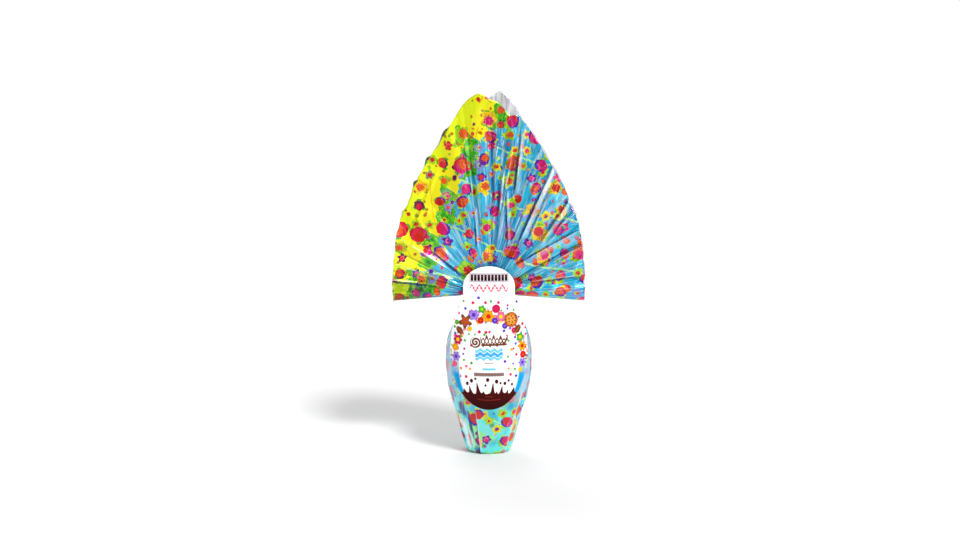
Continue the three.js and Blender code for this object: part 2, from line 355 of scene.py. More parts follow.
def ramp(value, low, high, at_low=0, at_high=1):
    """Goes evenly from one number to the other as the value goes from low to high, and is level beyond."""
    limits = {"Value": value, "From Min": low, "From Max": high, "To Min": at_low, "To Max": at_high}
    return output(value.tree, "MapRange", limits)


def below(value, limit, soft=0.12):
    """1 where the value is below the limit, 0 above it, with a soft edge."""
    if isinstance(limit, Field):
        value, limit = value - limit, 0
    return ramp(value, limit - soft, limit + soft, 1, 0)


def above(value, limit, soft=0.12):
    return 1 - below(value, limit, soft)


def between(value, low, high, soft=0.12):
    return above(value, low, soft) * below(value, high, soft)


def paint(under, over, mask, blend_type="MIX"):
    """The over colour where the mask is 1, the under colour where it is 0."""
    inputs = {0: mask, 6: under, 7: over}
    return output(tree_of(mask, under, over), "Mix", inputs, 2, data_type="RGBA", blend_type=blend_type)


def layered(under, *layers):
    """Paints each colour over the last one, where its mask is 1."""
    for colour, mask in layers:
        under = paint(under, colour, mask)
    return under


def pick(chance, *colours):
    """One of the colours, chosen by a chance value from 0 to 1."""
    node = add(chance.tree, "ValToRGB", {"Fac": chance})
    ramp_of_colours = node.color_ramp
    ramp_of_colours.interpolation = "CONSTANT"
    while len(ramp_of_colours.elements) < len(colours):
        ramp_of_colours.elements.new(0.5)
    for i, colour in enumerate(colours):
        ramp_of_colours.elements[i].position = i / len(colours)
        ramp_of_colours.elements[i].color = colour
    return Field(node.outputs[0])


def noise(where, scale, detail, roughness=0.5, name="Fac", flat=False):
    """Clouds with this many to a unit of length, on a sheet if flat is true."""
    inputs = {"Vector": where, "Scale": scale, "Detail": detail, "Roughness": roughness}
    return output(where.tree, "TexNoise", inputs, name, noise_dimensions="2D" if flat else "3D")


def split(vector, parts=2):
    return [Field(part) for part in add(vector.tree, "SeparateXYZ", {"Vector": vector}).outputs[:parts]]


def length_of(x, y):
    return calc("SQRT", x * x + y * y)


def turned(vector, angle):
    inputs = {"Vector": vector, "Angle": angle}
    return split(output(vector.tree, "VectorRotate", inputs, rotation_type="Z_AXIS"))


def scatter(where, spacing, looseness, shift=(0, 0)):
    """Centres scattered at about this spacing: the offset from the nearest, its place and three chances."""
    moved = vector_calc("ADD", where, (*shift, 0))
    inputs = {"Vector": moved, "Scale": 1 / spacing, "Randomness": looseness}
    cells = add(where.tree, "TexVoronoi", inputs, voronoi_dimensions="2D")
    place = Field(cells.outputs["Position"])
    chances = add(where.tree, "SeparateColor", {"Color": Field(cells.outputs["Color"])})
    return vector_calc("SUBTRACT", moved, place), place, [Field(chance) for chance in chances.outputs]


def bump(height, distance, strength):
    inputs = {"Height": height, "Distance": distance * MM, "Strength": strength}
    return output(height.tree, "Bump", inputs)


def new_group(name, inputs, outputs):
    """A shader node group. Returns it with its inputs as values and the node that takes its outputs."""
    group = bpy.data.node_groups.new(name, "ShaderNodeTree")
    for direction, sockets in (("INPUT", inputs), ("OUTPUT", outputs)):
        for label, kind in sockets.items():
            group.interface.new_socket(label, in_out=direction, socket_type="NodeSocket" + kind)
    entry = group.nodes.new("NodeGroupInput")
    return group, [Field(entry.outputs[label]) for label in inputs], group.nodes.new("NodeGroupOutput")


def use_group(group, *values):
    """The outputs of a group, with these values in its inputs in their order."""
    node = add(tree_of(*values), "Group", dict(enumerate(values)), node_tree=group)
    return [Field(socket) for socket in node.outputs]


def new_material(name):
    material = bpy.data.materials.new(name)
    material.use_nodes = True
    material.node_tree.nodes.clear()
    return material, material.node_tree


def finish_material(tree, inputs):
    """Ends a material with its principled shader."""
    shader = add(tree, "BsdfPrincipled", inputs)
    tree.links.new(shader.outputs[0], add(tree, "OutputMaterial").inputs[0])


def object_place(tree):
    return output(tree, "TexCoord", name="Object")


def attribute(tree, name):
    return output(tree, "Attribute", name="Fac", attribute_name=name)


# ---- The print on the film -----------------------------------------------------------------------

RED = ink(208, 32, 14)
ORANGE = ink(230, 92, 14)
MAGENTA = ink(216, 12, 114)
PINK = ink(250, 95, 150)
PURPLE = ink(100, 20, 150)
VIOLET = ink(60, 30, 170)
LIME = ink(150, 215, 5)
YELLOW = ink(244, 240, 0)
LEMON = ink(234, 254, 0)
SUNNY = ink(240, 200, 10)
CITRUS = ink(218, 220, 14)
GREEN = ink(70, 185, 8)
DARK_GREEN = ink(30, 130, 20)
LILAC = ink(140, 135, 215)
CYAN = ink(6, 178, 216)
SKY = ink(52, 188, 224)
DEEP_BLUE = ink(5, 152, 206)
MINT = ink(98, 234, 228)
LIGHT_GREEN = ink(150, 232, 140)
MILKY = ink(188, 203, 222)

SHARP = 0.001  # the softness of a limit that only sorts chances


def wobbled(where, scale, reach):
    """The coordinates with a small wobble, so that shapes look painted by hand."""
    cloud = noise(where, scale, 2, name="Color", flat=True)
    shift = vector_calc("MULTIPLY_ADD", cloud, (2 * reach, 2 * reach, 0), (-reach, -reach, 0))
    return vector_calc("ADD", where, shift)


def sparse(calm, chance, limit):
    """0 in the calm parts for the motifs whose chance is above the limit, and 1 for all others."""
    return 1 - calm * above(chance, limit, SHARP)


def big_motifs(where, ground, calm):
    """Painted eggs, each with a dark crescent, and fat flowers, with a second ink, specks and leaves."""
    offset, _, (one, two, three) = scatter(where, 26, 0.55, (6, 11))
    x, y = turned(offset, one * math.tau)
    size = 6 + three * three * 4
    is_flower = between(two, 0.25, 0.375, SHARP) + between(two, 0.75, 0.875, SHARP)
    turn = arctan(y, x)
    radius = length_of(x * 1.12, y)
    edge = size * (1 + cosine(turn * 5) * is_flower * 0.13)

    first = pick(two, RED, MAGENTA, SUNNY, ORANGE, MAGENTA, PURPLE, LIME, RED)
    second = pick(one, ORANGE, RED, MAGENTA, ORANGE, RED, MAGENTA)
    dark = pick(three, PURPLE, VIOLET, PURPLE, VIOLET, ink(190, 20, 90))
    away = length_of(x - size * 0.3, y + size * 0.22)
    px, py = x - size * 0.2, y - size * 0.18
    blob = length_of(px, py) + sine(arctan(py, px) * 7) * 0.5
    stripe = below(abs(y + size * 0.35), 0.5, 0.2)
    specks = above(sine(x * 1.5) * sine(y * 1.7), 0.62, 0.1) * below(radius, size * 0.8)
    colour = layered(
        dark,
        (first, larger(below(away, size * 0.93, 0.25), is_flower)),
        (second, below(blob, size * 0.6, 0.25)),
        (PINK, stripe * above(one, 0.5, SHARP)),
        (ink(170, 12, 50), specks * 0.75),
    )

    # Two or three small leaves round the edge.
    leaves = above(cosine(turn * 3 + three * 6), 0.55) * between(radius, edge, edge + 1.9)
    shown = sparse(calm, one, 0.7)
    ground = paint(ground, pick(three, LIME, GREEN, CITRUS, LIME, GREEN), leaves * shown)
    return paint(ground, colour, below(radius, edge) * shown)


def blossoms(where, ground, calm):
    """Flowers with a round core, and small plain eggs, between the painted eggs."""
    offset, _, (one, two, three) = scatter(where, 18.5, 0.75, (17, 3))
    x, y = turned(offset, one * math.tau)
    radius = length_of(x, y)
    size = 4.6 + three * 1.5
    edge = size * (0.7 + abs(cosine(arctan(y, x) * 2.5)) * 0.4)
    petal = pick(two, CITRUS, LIME, LILAC, MAGENTA, PURPLE, LIME, LILAC, LIME)
    flower = paint(petal, pick(two, ORANGE, LIME, PINK, RED, SUNNY), below(radius, 2.6, 0.25))
    core = below(length_of(x + 0.7, y - 0.5), 1.7, 0.25)
    flower = paint(flower, pick(three, RED, MAGENTA, RED, PURPLE), core)

    egg = paint(pick(three, RED, ORANGE, RED, ORANGE), ink(200, 30, 60), above(x, 1.6, 0.5))
    egg = paint(egg, ORANGE, below(length_of(x + 1.2, y - 1), 1.5, 0.3))
    is_egg = above(one, 0.8, SHARP)
    mask = mix(below(radius, edge), below(length_of(x * 1.2, y), size * 0.92), is_egg)
    return paint(ground, paint(flower, egg, is_egg), mask * sparse(calm, three, 0.4))


def small_motifs(where, ground, in_border):
    """Berries, some of them ringed where they lie on the blue, and dots, scattered between the rest."""
    offset, _, (one, two, three) = scatter(where, 13, 0.8, (9, 5))
    x, y = turned(offset, two * math.tau)
    radius = length_of(x, y * 1.15)
    size = 1.3 + one * 1.6
    ring = between(radius, size, size + 0.9, 0.2) * between(two, 0.42, 0.75, SHARP) * (1 - in_border)
    ground = paint(ground, pick(three, LILAC, ink(150, 140, 175), PURPLE, LILAC), ring * 0.85)
    shown = below(radius, size) * above(two, 0.4, SHARP)
    ground = paint(ground, pick(three, RED, LIME, PURPLE, MAGENTA, ORANGE, PURPLE, GREEN, LIME), shown)
    ground = paint(ground, pick(one, SUNNY, PINK, ORANGE, VIOLET), below(radius, 0.75) * shown)

    offset, _, (one, two, _) = scatter(where, 7.5, 1, (2, 31))
    dot = below(length_of(*split(offset)), 0.8) * above(one, 0.7, SHARP) * (1 - in_border)
    return paint(ground, pick(two, RED, PURPLE, ORANGE, GREEN, VIOLET), dot)


def streamers(where, ground):
    """Thin paper streamers that fall to the right, and fine stitched threads that rise to it."""
    x, y = split(where)
    across = zigzag(y + x * 0.36 + sine(x / 23) * 4.5, 29)
    ground = paint(ground, ink(180, 240, 150), below(across, 1, 0.3) * 0.9)
    across = zigzag(y - x * 0.95 + sine(y / 12) * 3, 41)
    return paint(ground, PURPLE, below(across, 0.35, 0.2) * above(zigzag(x + y, 1.3), 0.45) * 0.7)


def paint_pleat_streaks(folds, blue, strength):
    """Pale streaks of painted highlight along the pleats on the blue, and darker streaks of painted shade in
    others.
    """
    light_streaks = noise(folds, 0.3, 3, 0.6, flat=True)
    blue = paint(blue, ink(200, 216, 222), above(light_streaks, 0.58, 0.07) * strength * 0.64)
    return paint(blue, ink(5, 112, 172), below(light_streaks, 0.38, 0.06) * strength * 0.26)


def border(where, from_edge, along_edge, blue):
    """A yellow border, with green bushes one after another along its inner side."""
    phase = calc("FRACT", (along_edge + 14) / 68)
    frill = sine(along_edge * 0.9) * 0.8 + sine(along_edge * 0.37) * 1.3
    inner = 41 - phase**2.2 * 12 + frill
    bare = 51 + sine(phase * 16) * 2 + frill
    lush = between(phase, ramp(along_edge, 70, 120, 0.04, 0.26), 0.97, 0.015)
    narrow = ramp(along_edge, 8, 118, -23, 0)
    taper = ramp(along_edge, 190, 275, 0, -12)
    yellow_edge = mix(bare, inner, lush) + narrow + taper
    bush_edge = 58 - sine(phase * 8.4) * 7 + frill + narrow * 0.35 + taper

    speckle = noise(where, 0.11, 2, flat=True)
    green = paint(GREEN, LIME, above(speckle, 0.6, 0.05))
    green = paint(green, DARK_GREEN, below(speckle, 0.37, 0.04))
    ground = paint(blue, green, below(from_edge, bush_edge, 0.4) * lush)
    in_border = below(from_edge, yellow_edge, 0.4)
    ground = paint(ground, paint(LEMON, YELLOW, above(from_edge + frill * 2, 17, 6)), in_border)

    # Beads with a bright core, and thin slanting strokes.
    offset, _, (one, two, _) = scatter(where, 10.5, 0.7, (4, 21))
    bead = length_of(*split(offset))
    shown = in_border * above(one, 0.5, SHARP)
    ground = paint(ground, ink(150, 62, 10), below(bead, 1.2 + two, 0.3) * shown * 0.85)
    ground = paint(ground, ink(240, 96, 50), below(bead, 0.7, 0.3) * shown)
    strokes = below(zigzag(from_edge + along_edge * 0.55, 29), 0.4, 0.2)
    return paint(ground, ORANGE, strokes * in_border * 0.7), in_border


def make_print_group():
    """The whole print: blue sheet, yellow border with green bushes along the left edge, and the motifs."""
    group, (printed, sheet, folds, clear), result = new_group(
        "film_print",
        {"Print": "Vector", "Sheet": "Vector", "Folds": "Vector", "Clear": "Float"},
        {"Color": "Color", "Border": "Float"},
    )
    where = wobbled(printed, 0.2, 1.5)
    toward_edge, along_edge = split(sheet)
    patches = noise(where, 0.028, 1.5, flat=True)
    tints = noise(where, 0.05, 1, flat=True)
    blue = paint(CYAN, SKY, above(patches, 0.54, 0.07))
    blue = paint(blue, DEEP_BLUE, below(patches, 0.43, 0.07))
    from_middle = output(group, "VectorMath", {0: sheet}, "Value", operation="LENGTH")
    at_foot = below(from_middle, 92, 30)
    foot_ink = paint(MINT, LIGHT_GREEN, above(tints, 0.6, 0.06))
    blue = paint(blue, foot_ink, at_foot * above(patches, 0.33, 0.06))
    # Painted highlight and shade streaks along the pleats, fainter at the foot.
    blue = paint_pleat_streaks(folds, blue, 1 - at_foot * 0.6)

    ground, in_border = border(where, SHEET_HALF - toward_edge, along_edge, blue)
    ground = paint(streamers(where, ground), ground, in_border)
    milky = between(from_middle, 98, 188, 14) * above(tints, 0.35, 0.1) * (1 - clear)
    calm = larger(in_border, milky)
    ground = small_motifs(where, ground, in_border)
    ground = blossoms(where, ground, calm)
    ground = big_motifs(where, ground, calm)

    # Inks turn warmer where they are printed over the yellow, and fade to milky silver round the belly.
    ground = paint(ground, ink(252, 245, 120), in_border, "MULTIPLY")
    put(result.inputs["Color"], paint(ground, MILKY, milky * 0.68))
    put(result.inputs["Border"], in_border)
    return group


def make_crumple_group():
    """Small creases pressed into the film: sharp-edged facets of two sizes and a fine grain."""
    group, (where,), result = new_group("film_crumple", {"Where": "Vector"}, {"Height": "Float"})
    bend = noise(where, 90, 2, name="Color")
    bent = vector_calc("ADD", where, vector_calc("MULTIPLY", bend, (0.012, 0.012, 0.012)))
    large, small = (output(group, "TexVoronoi", {"Vector": bent, "Scale": scale}) for scale in (62, 190))
    put(result.inputs["Height"], large + small * 0.3 + noise(where, 90, 2) * 0.6)
    return group


def make_fold_shading_group():
    """Painted highlight on sharp crests and where the film is drawn tight, and painted shade in sharp
    valleys.

    Crease values from -1 to -1.8 are deep shade, almost navy.
    """
    group, (colour, crease, tight), result = new_group(
        "fold_light_and_shade", {"Color": "Color", "Crease": "Float", "Tight": "Float"}, {"Color": "Color"}
    )
    # Painted shade in valleys, painted deep shade below -1, and a painted highlight on crests and on the
    # tight strips.
    colour = paint(colour, ink(92, 134, 174), ramp(crease, -0.16, -0.75) * 0.6, "MULTIPLY")
    colour = paint(colour, ink(8, 58, 122), ramp(crease, -1.05, -1.8) * 0.85)
    colour = paint(colour, ink(232, 242, 250), larger(ramp(crease, 0.4, 1) * 0.5, tight))
    put(result.inputs["Color"], colour)
    return group


def film_maps(tree):
    return [output(tree, "UVMap", uv_map=name) for name in FILM_MAPS]


def film_materials():
    """The film's printed outside and its bare silver inside."""
    print_group = make_print_group()
    crumple_group = make_crumple_group()

    outside, tree = new_material("printed_film")
    clear = attribute(tree, "clear")
    colour, in_border = use_group(print_group, *film_maps(tree), clear)
    (crumple,) = use_group(crumple_group, object_place(tree))
    # Painted highlight and shade on the folds, from each piece's crease and tight values.
    fold_shaded = use_group(make_fold_shading_group(), colour, attribute(tree, "crease"), attribute(tree, "tight"))
    finish_material(tree, {
        "Base Color": fold_shaded[0],
        "Metallic": 0.7 - in_border * 0.14,
        "Roughness": 0.26 + in_border * 0.1,
        "Specular Tint": (0.42, 0.76, 0.9, 1),
        "Coat Weight": 0.8 - (in_border * 0.6 + clear * 0.5) * 0.9,
        "Coat Roughness": 0.06,
        "Coat IOR": 1.5,
        "Normal": bump(crumple, 0.5, 0.2),
    })

    inside, tree = new_material("silver_film")
    place = object_place(tree)
    (crumple,) = use_group(crumple_group, place)
    maps = film_maps(tree)
    tint = paint(ink(196, 197, 210), ink(216, 217, 226), above(crumple, 0.6, 0.3))
    tint = paint(tint, use_group(print_group, *maps)[0], 0.1)
    # Painted highlight and shade streaks along the pleats, and painted shade along the outside's crests,
    # which are valleys on this side.
    light_streaks = noise(maps[-1], 0.42, 3, 0.6, flat=True)
    tint = paint(tint, ink(150, 152, 172), below(light_streaks, 0.42, 0.05) * 0.45)
    tint = paint(tint, ink(240, 241, 246), above(light_streaks, 0.57, 0.06) * 0.6)
    tint = paint(tint, ink(104, 104, 122), ramp(attribute(tree, "crease"), 0.3, 0.9) * 0.55)
    # The back layer's rim is painted dark olive where it peeks out beyond the front layer.
    dark_rim_ink = paint(ink(52, 50, 8), ink(120, 124, 14), above(noise(place, 260, 1), 0.56, 0.03))
    finish_material(tree, {
        "Base Color": paint(tint, dark_rim_ink, attribute(tree, "dark_rim") * 0.94),
        "Metallic": 0.5,
        "Roughness": 0.36,
        "Normal": bump(crumple, 0.5, 0.4),
    })
    return outside, inside


# ---- The film round the cup and the egg ----------------------------------------------------------

BELLY_ARC = 42  # radius at which distances round the wrap are measured

# Folds that the film laps over itself in, all round: angle from the front at half height, width it eases over
# (its sign says to which side), how far it stands proud at the foot and at the belly, the height where it
# dies out, and how far its upper end drifts aside in degrees.
CUP_LAPS = [
    (-158, 20, 1.4, 0.7, 105, 9), (-131, 22, 1.5, 0.8, 150, -8), (-99, 24, 1.4, 1.0, 88, 12),
    (-76, 12, 1.8, 0.8, 135, -9), (-55, 11, 1.6, 0.5, 90, 4), (-40, 12, 1.9, 0.6, 118, -5),
    (-22, 18, 1.6, 0.6, 96, -5), (48, -24, 1.9, 0.7, 102, 11), (67, -11, 1.5, 0.8, 140, 6),
    (95, -20, 1.7, 0.8, 92, -10), (121, -20, 1.3, 0.9, 148, 9), (152, -18, 1.6, 0.7, 84, -6),
    (172, -14, 1.2, 0.7, 120, 3),
]
LAP_PLACES = [lap[0] for lap in CUP_LAPS]

# Straight creases pressed into the film on the cup and the egg: angle and height of both ends, and the size
# and half width of the crease.
WRAP_CREASES = [
    ((-13, 4), (60, 45), 1.3, 4.0), ((20, 2), (58, 58), -1.2, 4.0), ((-44, 20), (-24, 66), 1.2, 3.5),
    ((-70, 10), (-40, 90), -1.3, 4.5), ((-90, 60), (-60, 150), 1.0, 5.0), ((62, 40), (88, 130), 1.1, 5.0),
    ((60, 120), (110, 80), -0.9, 5.0), ((-62, 128), (-120, 92), -0.9, 5.0), ((100, 10), (140, 90), 1.3, 5.0),
    ((120, 60), (178, 110), -1.2, 5.0), ((-100, 14), (-150, 90), 1.3, 5.0),
    ((-130, 70), (-178, 130), -1.1, 5.0), ((150, 8), (165, 120), 1.1, 5.0),
    ((-165, 20), (-120, 60), -1.0, 4.0),
]

# Upright strips of painted highlight where the film is drawn tight, strips where no milky silver hides
# the blue, and strips of painted deep shade: angle, half width, heights of both ends and strength.
HIGHLIGHT_STRIPS = [
    (-57, 11, 3, 44, 0.95), (-37, 2.4, 4, 30, 0.4), (52, 2.4, 20, 80, 0.6), (98, 2.4, 10, 90, 0.7),
    (150, 2.4, 6, 80, 0.6), (-128, 2.4, 8, 100, 0.7), (-155, 2.4, 10, 70, 0.5), (-20, 2.4, 2, 20, 0.6),
    (-84, 4, 96, 142, 0.5), (84, 4, 92, 138, 0.5),
]
CLEAR_STRIPS = [
    (-84, 14, 92, 172, 0.95), (-58, 4, 84, 150, 0.5), (84, 14, 58, 172, 0.95), (60, 4, 92, 150, 0.5),
    (150, 9, 70, 150, 0.6), (-150, 7, 80, 165, 0.6), (180, 60, 40, 178, 0.8), (-180, 60, 40, 178, 0.8),
]
SHADED_STRIPS = [
    (-49, 10, 42, 64, 1.1), (-35, 2.6, 16, 54, 1.1), (-30, 9, -8, 13, 0.8), (-73, 3, 6, 46, 0.7),
    (-80, 3, 56, 100, 0.5), (84, 2.5, 60, 120, 0.4), (120, 4, 30, 64, 0.7), (-140, 2.6, 14, 60, 0.8),
    (168, 2, 20, 66, 0.8),
]


def wrap_radius(height):
    """The radius of the film round the cup and the egg."""
    cup = mix(FOOT_RADIUS, CUP_RIM_RADIUS, height / CUP_RIM_HEIGHT)
    reach = np.where(height < EGG_WIDEST_HEIGHT, EGG_POINT_REACH, EGG_BLUNT_REACH)
    egg = EGG_RADIUS * np.sqrt(np.clip(1 - ((height - EGG_WIDEST_HEIGHT) / reach) ** 2, 0, 1))
    to_neck = np.clip((height - SHOULDER_HEIGHT) / (TIE_FOOT - SHOULDER_HEIGHT), 0, 1)
    shoulder = EGG_RADIUS * math.sqrt(1 - ((SHOULDER_HEIGHT - EGG_WIDEST_HEIGHT) / EGG_BLUNT_REACH) ** 2)
    body = np.where(height < CUP_RIM_HEIGHT, cup, egg)
    return np.where(height > SHOULDER_HEIGHT, mix(shoulder, NECK_RADIUS, to_neck**0.75), body)


def wrap_stations():
    """Radius and height along the wrap, from the middle of the foot to the top of the tie."""
    flat_radius = FOOT_RADIUS - FOOT_EDGE
    foot = [(r, 0) for r in (0, 4, 8, 12, 16, 19.5, flat_radius)]
    turns = np.radians([25, 50, 75])
    edge = [(flat_radius + FOOT_EDGE * math.sin(a), FOOT_EDGE * (1 - math.cos(a))) for a in turns]
    levels = [3, CUP_RIM_HEIGHT, 140, SHOULDER_HEIGHT, TIE_FOOT]
    counts = [26, 28, 14, 14]
    sides = [np.linspace(*ends, endpoint=False) for ends in zip(levels, levels[1:], counts)]
    heights = np.concatenate(sides + [np.linspace(TIE_FOOT, TIE_TOP, 4)])
    lid = [(NECK_RADIUS * 0.5, TIE_TOP + 0.5), (0, TIE_TOP + 0.5)]
    return np.array(foot + edge + list(zip(wrap_radius(heights), heights)) + lid)


def lap_relief(angle, height):
    """How far the laps lift the film. Their lower layer ends sharply at the lap's edge."""
    lifted = 0 * angle
    up = smooth(height, 0, 95)
    for place, width, at_foot, at_belly, top, _ in CUP_LAPS:
        share = (angle - place) / width
        slope = np.where((share >= 0) & (share < 1), 1 - share, 0)
        lifted += slope * mix(at_foot, at_belly, up) * (1 - smooth(height, top - 45, top + 12))
    return lifted * smooth(height, 0, 3)


def drifted(angle, height):
    """The angle at which a line that starts at this angle at the foot stands at the given height."""
    drifts = [0] + [lap[5] for lap in CUP_LAPS] + [0]
    return angle + np.interp(angle, [-180] + LAP_PLACES + [180], drifts) * (height - 30) / 110


def gather_relief(angle, height):
    """Gathers that run down from the neck over the egg's shoulder."""
    broad, fine = fold_lines(-180, 180, 44, 0.5, 11), fold_lines(-180, 180, 104, 0.5, 12)
    for _, heights in (broad, fine):
        heights[-1] = heights[0]
    tight = smooth(height, 150, 174)
    slack = np.interp(angle, *broad) * smooth(height, 118, 172) * (1 - 0.55 * tight)
    return 1.15 * slack + 0.55 * np.interp(angle, *fine) * tight


def belly_relief(angle, height):
    """Long soft tension folds and straight creases of the film on the egg and the cup."""
    arc = np.radians(angle) * BELLY_ARC
    relief = 0.55 * wander(arc, height * 0.3, 26, 21) + 0.3 * wander(arc, height * 0.25, 9, 22)
    relief += 0.3 * wander(arc, height, 19, 23)
    for *ends, size, half_width in WRAP_CREASES:
        ends = [(math.radians(turn) * BELLY_ARC, level) for turn, level in ends]
        along, off = beside(arc, height, *ends)
        relief += size * np.clip(1 - np.abs(off) / half_width, 0, 1) * span(along, -0.1, 0.2, 0.8, 1.1)
    return relief * span(height, 2, 16, 150, 172)


def wrap_columns():
    """Angles round the wrap, with a pair of columns at each lap's edge to make it sharp."""
    even = [a for a in np.linspace(-180, 180, WRAP_COLUMNS) if min(abs(a - lap) for lap in LAP_PLACES) > 0.5]
    edges = [lap + step for lap in LAP_PLACES for step in (-0.35, 0)]
    steps = [lap + (0.35 if width > 0 else -0.7) for lap, width, *_ in CUP_LAPS]
    return np.sort(np.concatenate([even, edges, steps]))


def strips(places, angle, height):
    """The strength, up to 1, of the upright strips of a list at each point of the wrap."""
    strength = 0 * angle
    for place, half_width, low_end, high_end, full in places:
        across = np.exp(-(((angle - place) / half_width) ** 4))
        ends = span(height, low_end, low_end + 8, high_end - 8, high_end)
        strength = np.maximum(strength, full * across * ends)
    return strength


def print_on_wrap(angle, panel_angle, radius, height):
    """The print on the wrap, which lies unstretched between two laps and jumps from one panel to the next."""
    panel = np.searchsorted(LAP_PLACES, panel_angle)
    edges = np.array([-180] + LAP_PLACES + [180])
    centre = (edges[panel] + edges[panel + 1]) / 2
    u = np.radians(centre) * BELLY_ARC + 37 * panel + np.radians(angle - centre) * np.clip(radius, 20, None)
    v = height + np.where(height < 1, radius - 24, 0)
    return u + 10, v - 260 + (panel % 3) * 5


def make_wrap(outside):
    """The film round the cup and the egg, from the foot up to the tie."""
    angles = wrap_columns()
    stations = wrap_stations()
    piece, column, row = flat_sheet("film_wrap", len(angles), len(stations))
    angle = angles[column]
    radius, height = stations[row].T

    on_side = (radius > 21) | (height > 3)
    relief = lap_relief(angle, height) + gather_relief(angle, height) + belly_relief(angle, height)
    relief = np.where(on_side & (height < TIE_TOP + 0.2), relief, 0)
    relief = np.where(height > TIE_FOOT, np.clip(relief, -0.5, 0.5), relief)
    at_seam = np.empty(len(stations))
    at_seam[row[column == 0]] = relief[column == 0]
    relief = np.where((column == 0) | (column == len(angles) - 1), at_seam[row], relief)
    underside = np.where(height < 0.01, 0.12 * (1 + np.sin(np.radians(angle) * 24)), 0)
    underside *= span(radius, 3, 14, 19, 22)
    turn = np.radians(drifted(angle, np.minimum(height, 160)))
    out = radius + relief
    fold_sheet(piece, out * np.sin(turn), -out * np.cos(turn), height + underside)

    creases = crease_strength(relief, angle, radius, column, row, 1.6)
    # The crease values carry painted shade from the shaded strips, and tight carries the painted highlight
    # strips.
    keep_value(piece, "crease", (creases - 1.9 * strips(SHADED_STRIPS, angle, height)) * on_side)
    keep_value(piece, "tight", strips(HIGHLIGHT_STRIPS, angle, height) * on_side)
    keep_value(piece, "clear", strips(CLEAR_STRIPS, angle, height))
    points, lowest = face_corners(piece, column)
    panel_angle = (angles[lowest] + angles[np.minimum(lowest + 1, len(angles) - 1)]) / 2
    angle, radius, height = angle[points], radius[points], height[points]
    along = height + np.where(height < 1, radius, 24)
    keep_map(piece, "print", *print_on_wrap(angle, panel_angle, radius, height))
    keep_map(piece, "sheet", along, 0 * along)
    keep_map(piece, "folds", np.radians(angle) * 9, height * 0.05)
    edit_all(piece, bpy.ops.mesh.remove_doubles, threshold=WELD_DISTANCE * MM)
    edit_all(piece, bpy.ops.mesh.normals_make_consistent, inside=False)
    smooth_faces(piece, 26)
    give_materials(piece, outside)
    return piece


# ---- The fan -------------------------------------------------------------------------------------

# Long folds of each layer: angle in the fan, how far the fold stands out, and how wide it is in degrees.
LONG_FOLDS = {
    "front": [
        (3, -1.8, 3.0), (9, 1.6, 3.0), (21, -3.0, 3.2), (26, 1.8, 3.0), (30.5, -3.2, 3.0), (37, 2.4, 4.0),
        (61, -3.4, 2.6), (66, 2.8, 3.2), (81, 1.4, 2.5), (88, -1.2, 2.5), (103, 1.6, 5.0), (121, -1.3, 6.0),
        (142.6, -3.2, 2.6), (147, 2.0, 3.6), (156, -1.4, 3.0), (165, -2.0, 2.5), (169.5, 2.2, 3.5),
        (176, -3.2, 3.2),
    ],
    "back": [
        (6, -2.2, 3.0), (14, 1.8, 4.0), (33, -3.0, 3.0), (47, 2.4, 4.0), (58, -2.6, 3.0), (74, 1.6, 3.0),
        (96, -2.2, 3.0), (109, 2.0, 4.0), (127, -3.0, 3.0), (139, 2.2, 4.0), (151, -2.0, 3.0),
        (166, 2.2, 4.0), (175, -1.8, 3.0),
    ],
}

# Where the cut rim departs from the sheet's straight edges: angle and millimetres.
RIM_TRIM = {
    "front": [
        (80, 0), (84.5, 3), (87, 6), (90, 1.5), (93, 0), (95.5, 2.5), (98, 1.5), (101, -1.5), (104, -3.2),
        (109, -4), (113, -3.2), (118, -2), (132, -2), (136, 0),
    ],
    "back": [(45, 0), (49.5, -4), (55, -1.5), (62, -3.5), (68, -4.5), (79, -6), (82.5, -1), (86.5, 0)],
}
BACK_PEEKS = [105.5, 114.9, 124.1, 137]  # where the back layer shows beyond the front one

# Laps, where the film is folded over itself: start and end in the fan's plane, height, width, and the
# strength of the highlight painted where the film is drawn tight over them and of the shade painted beside
# them. Below zero, the film is slack and only the painted shade beside the lap shows.
FAN_LAPS = {
    "front": [
        ((36, 64), (76, 154), 2.5, 7.0, 0.95), ((-14, 84), (-20, 150), -1.8, 5.0, 0.0),
        ((30, 116), (37, 186), 2.2, 6.5, 0.6), ((22, 58), (20, 118), 1.8, 4.0, 0.4),
        ((-13, 54), (-16, 100), 1.7, 3.5, 0.5), ((12, 96), (16, 142), 1.4, 3.0, 0.5),
        ((30, 34), (98, 72), 2.4, 8.0, 0.25), ((38, 12), (102, 20), -2.2, 7.0, 0.0),
        ((58, 58), (92, 108), 1.6, 6.0, 0.3), ((-30, 23), (-62, 49), 1.3, 5.0, -0.75),
        ((-114, 15), (-58, 9), -3.6, 12.0, 0.0), ((4, 104), (2, 196), -1.7, 4.0, 0.0),
        ((-92, 60), (-60, 140), 1.1, 4.0, 0.0),
    ],
    "back": [
        ((-36, 60), (-74, 140), 3.0, 7.0, 0.8), ((34, 74), (66, 140), -2.4, 6.0, 0.0),
        ((6, 96), (14, 190), 2.0, 5.0, 0.5), ((-44, 24), (-102, 40), 2.4, 7.0, 0.3),
        ((40, 20), (100, 36), -2.4, 7.0, 0.0),
    ],
}

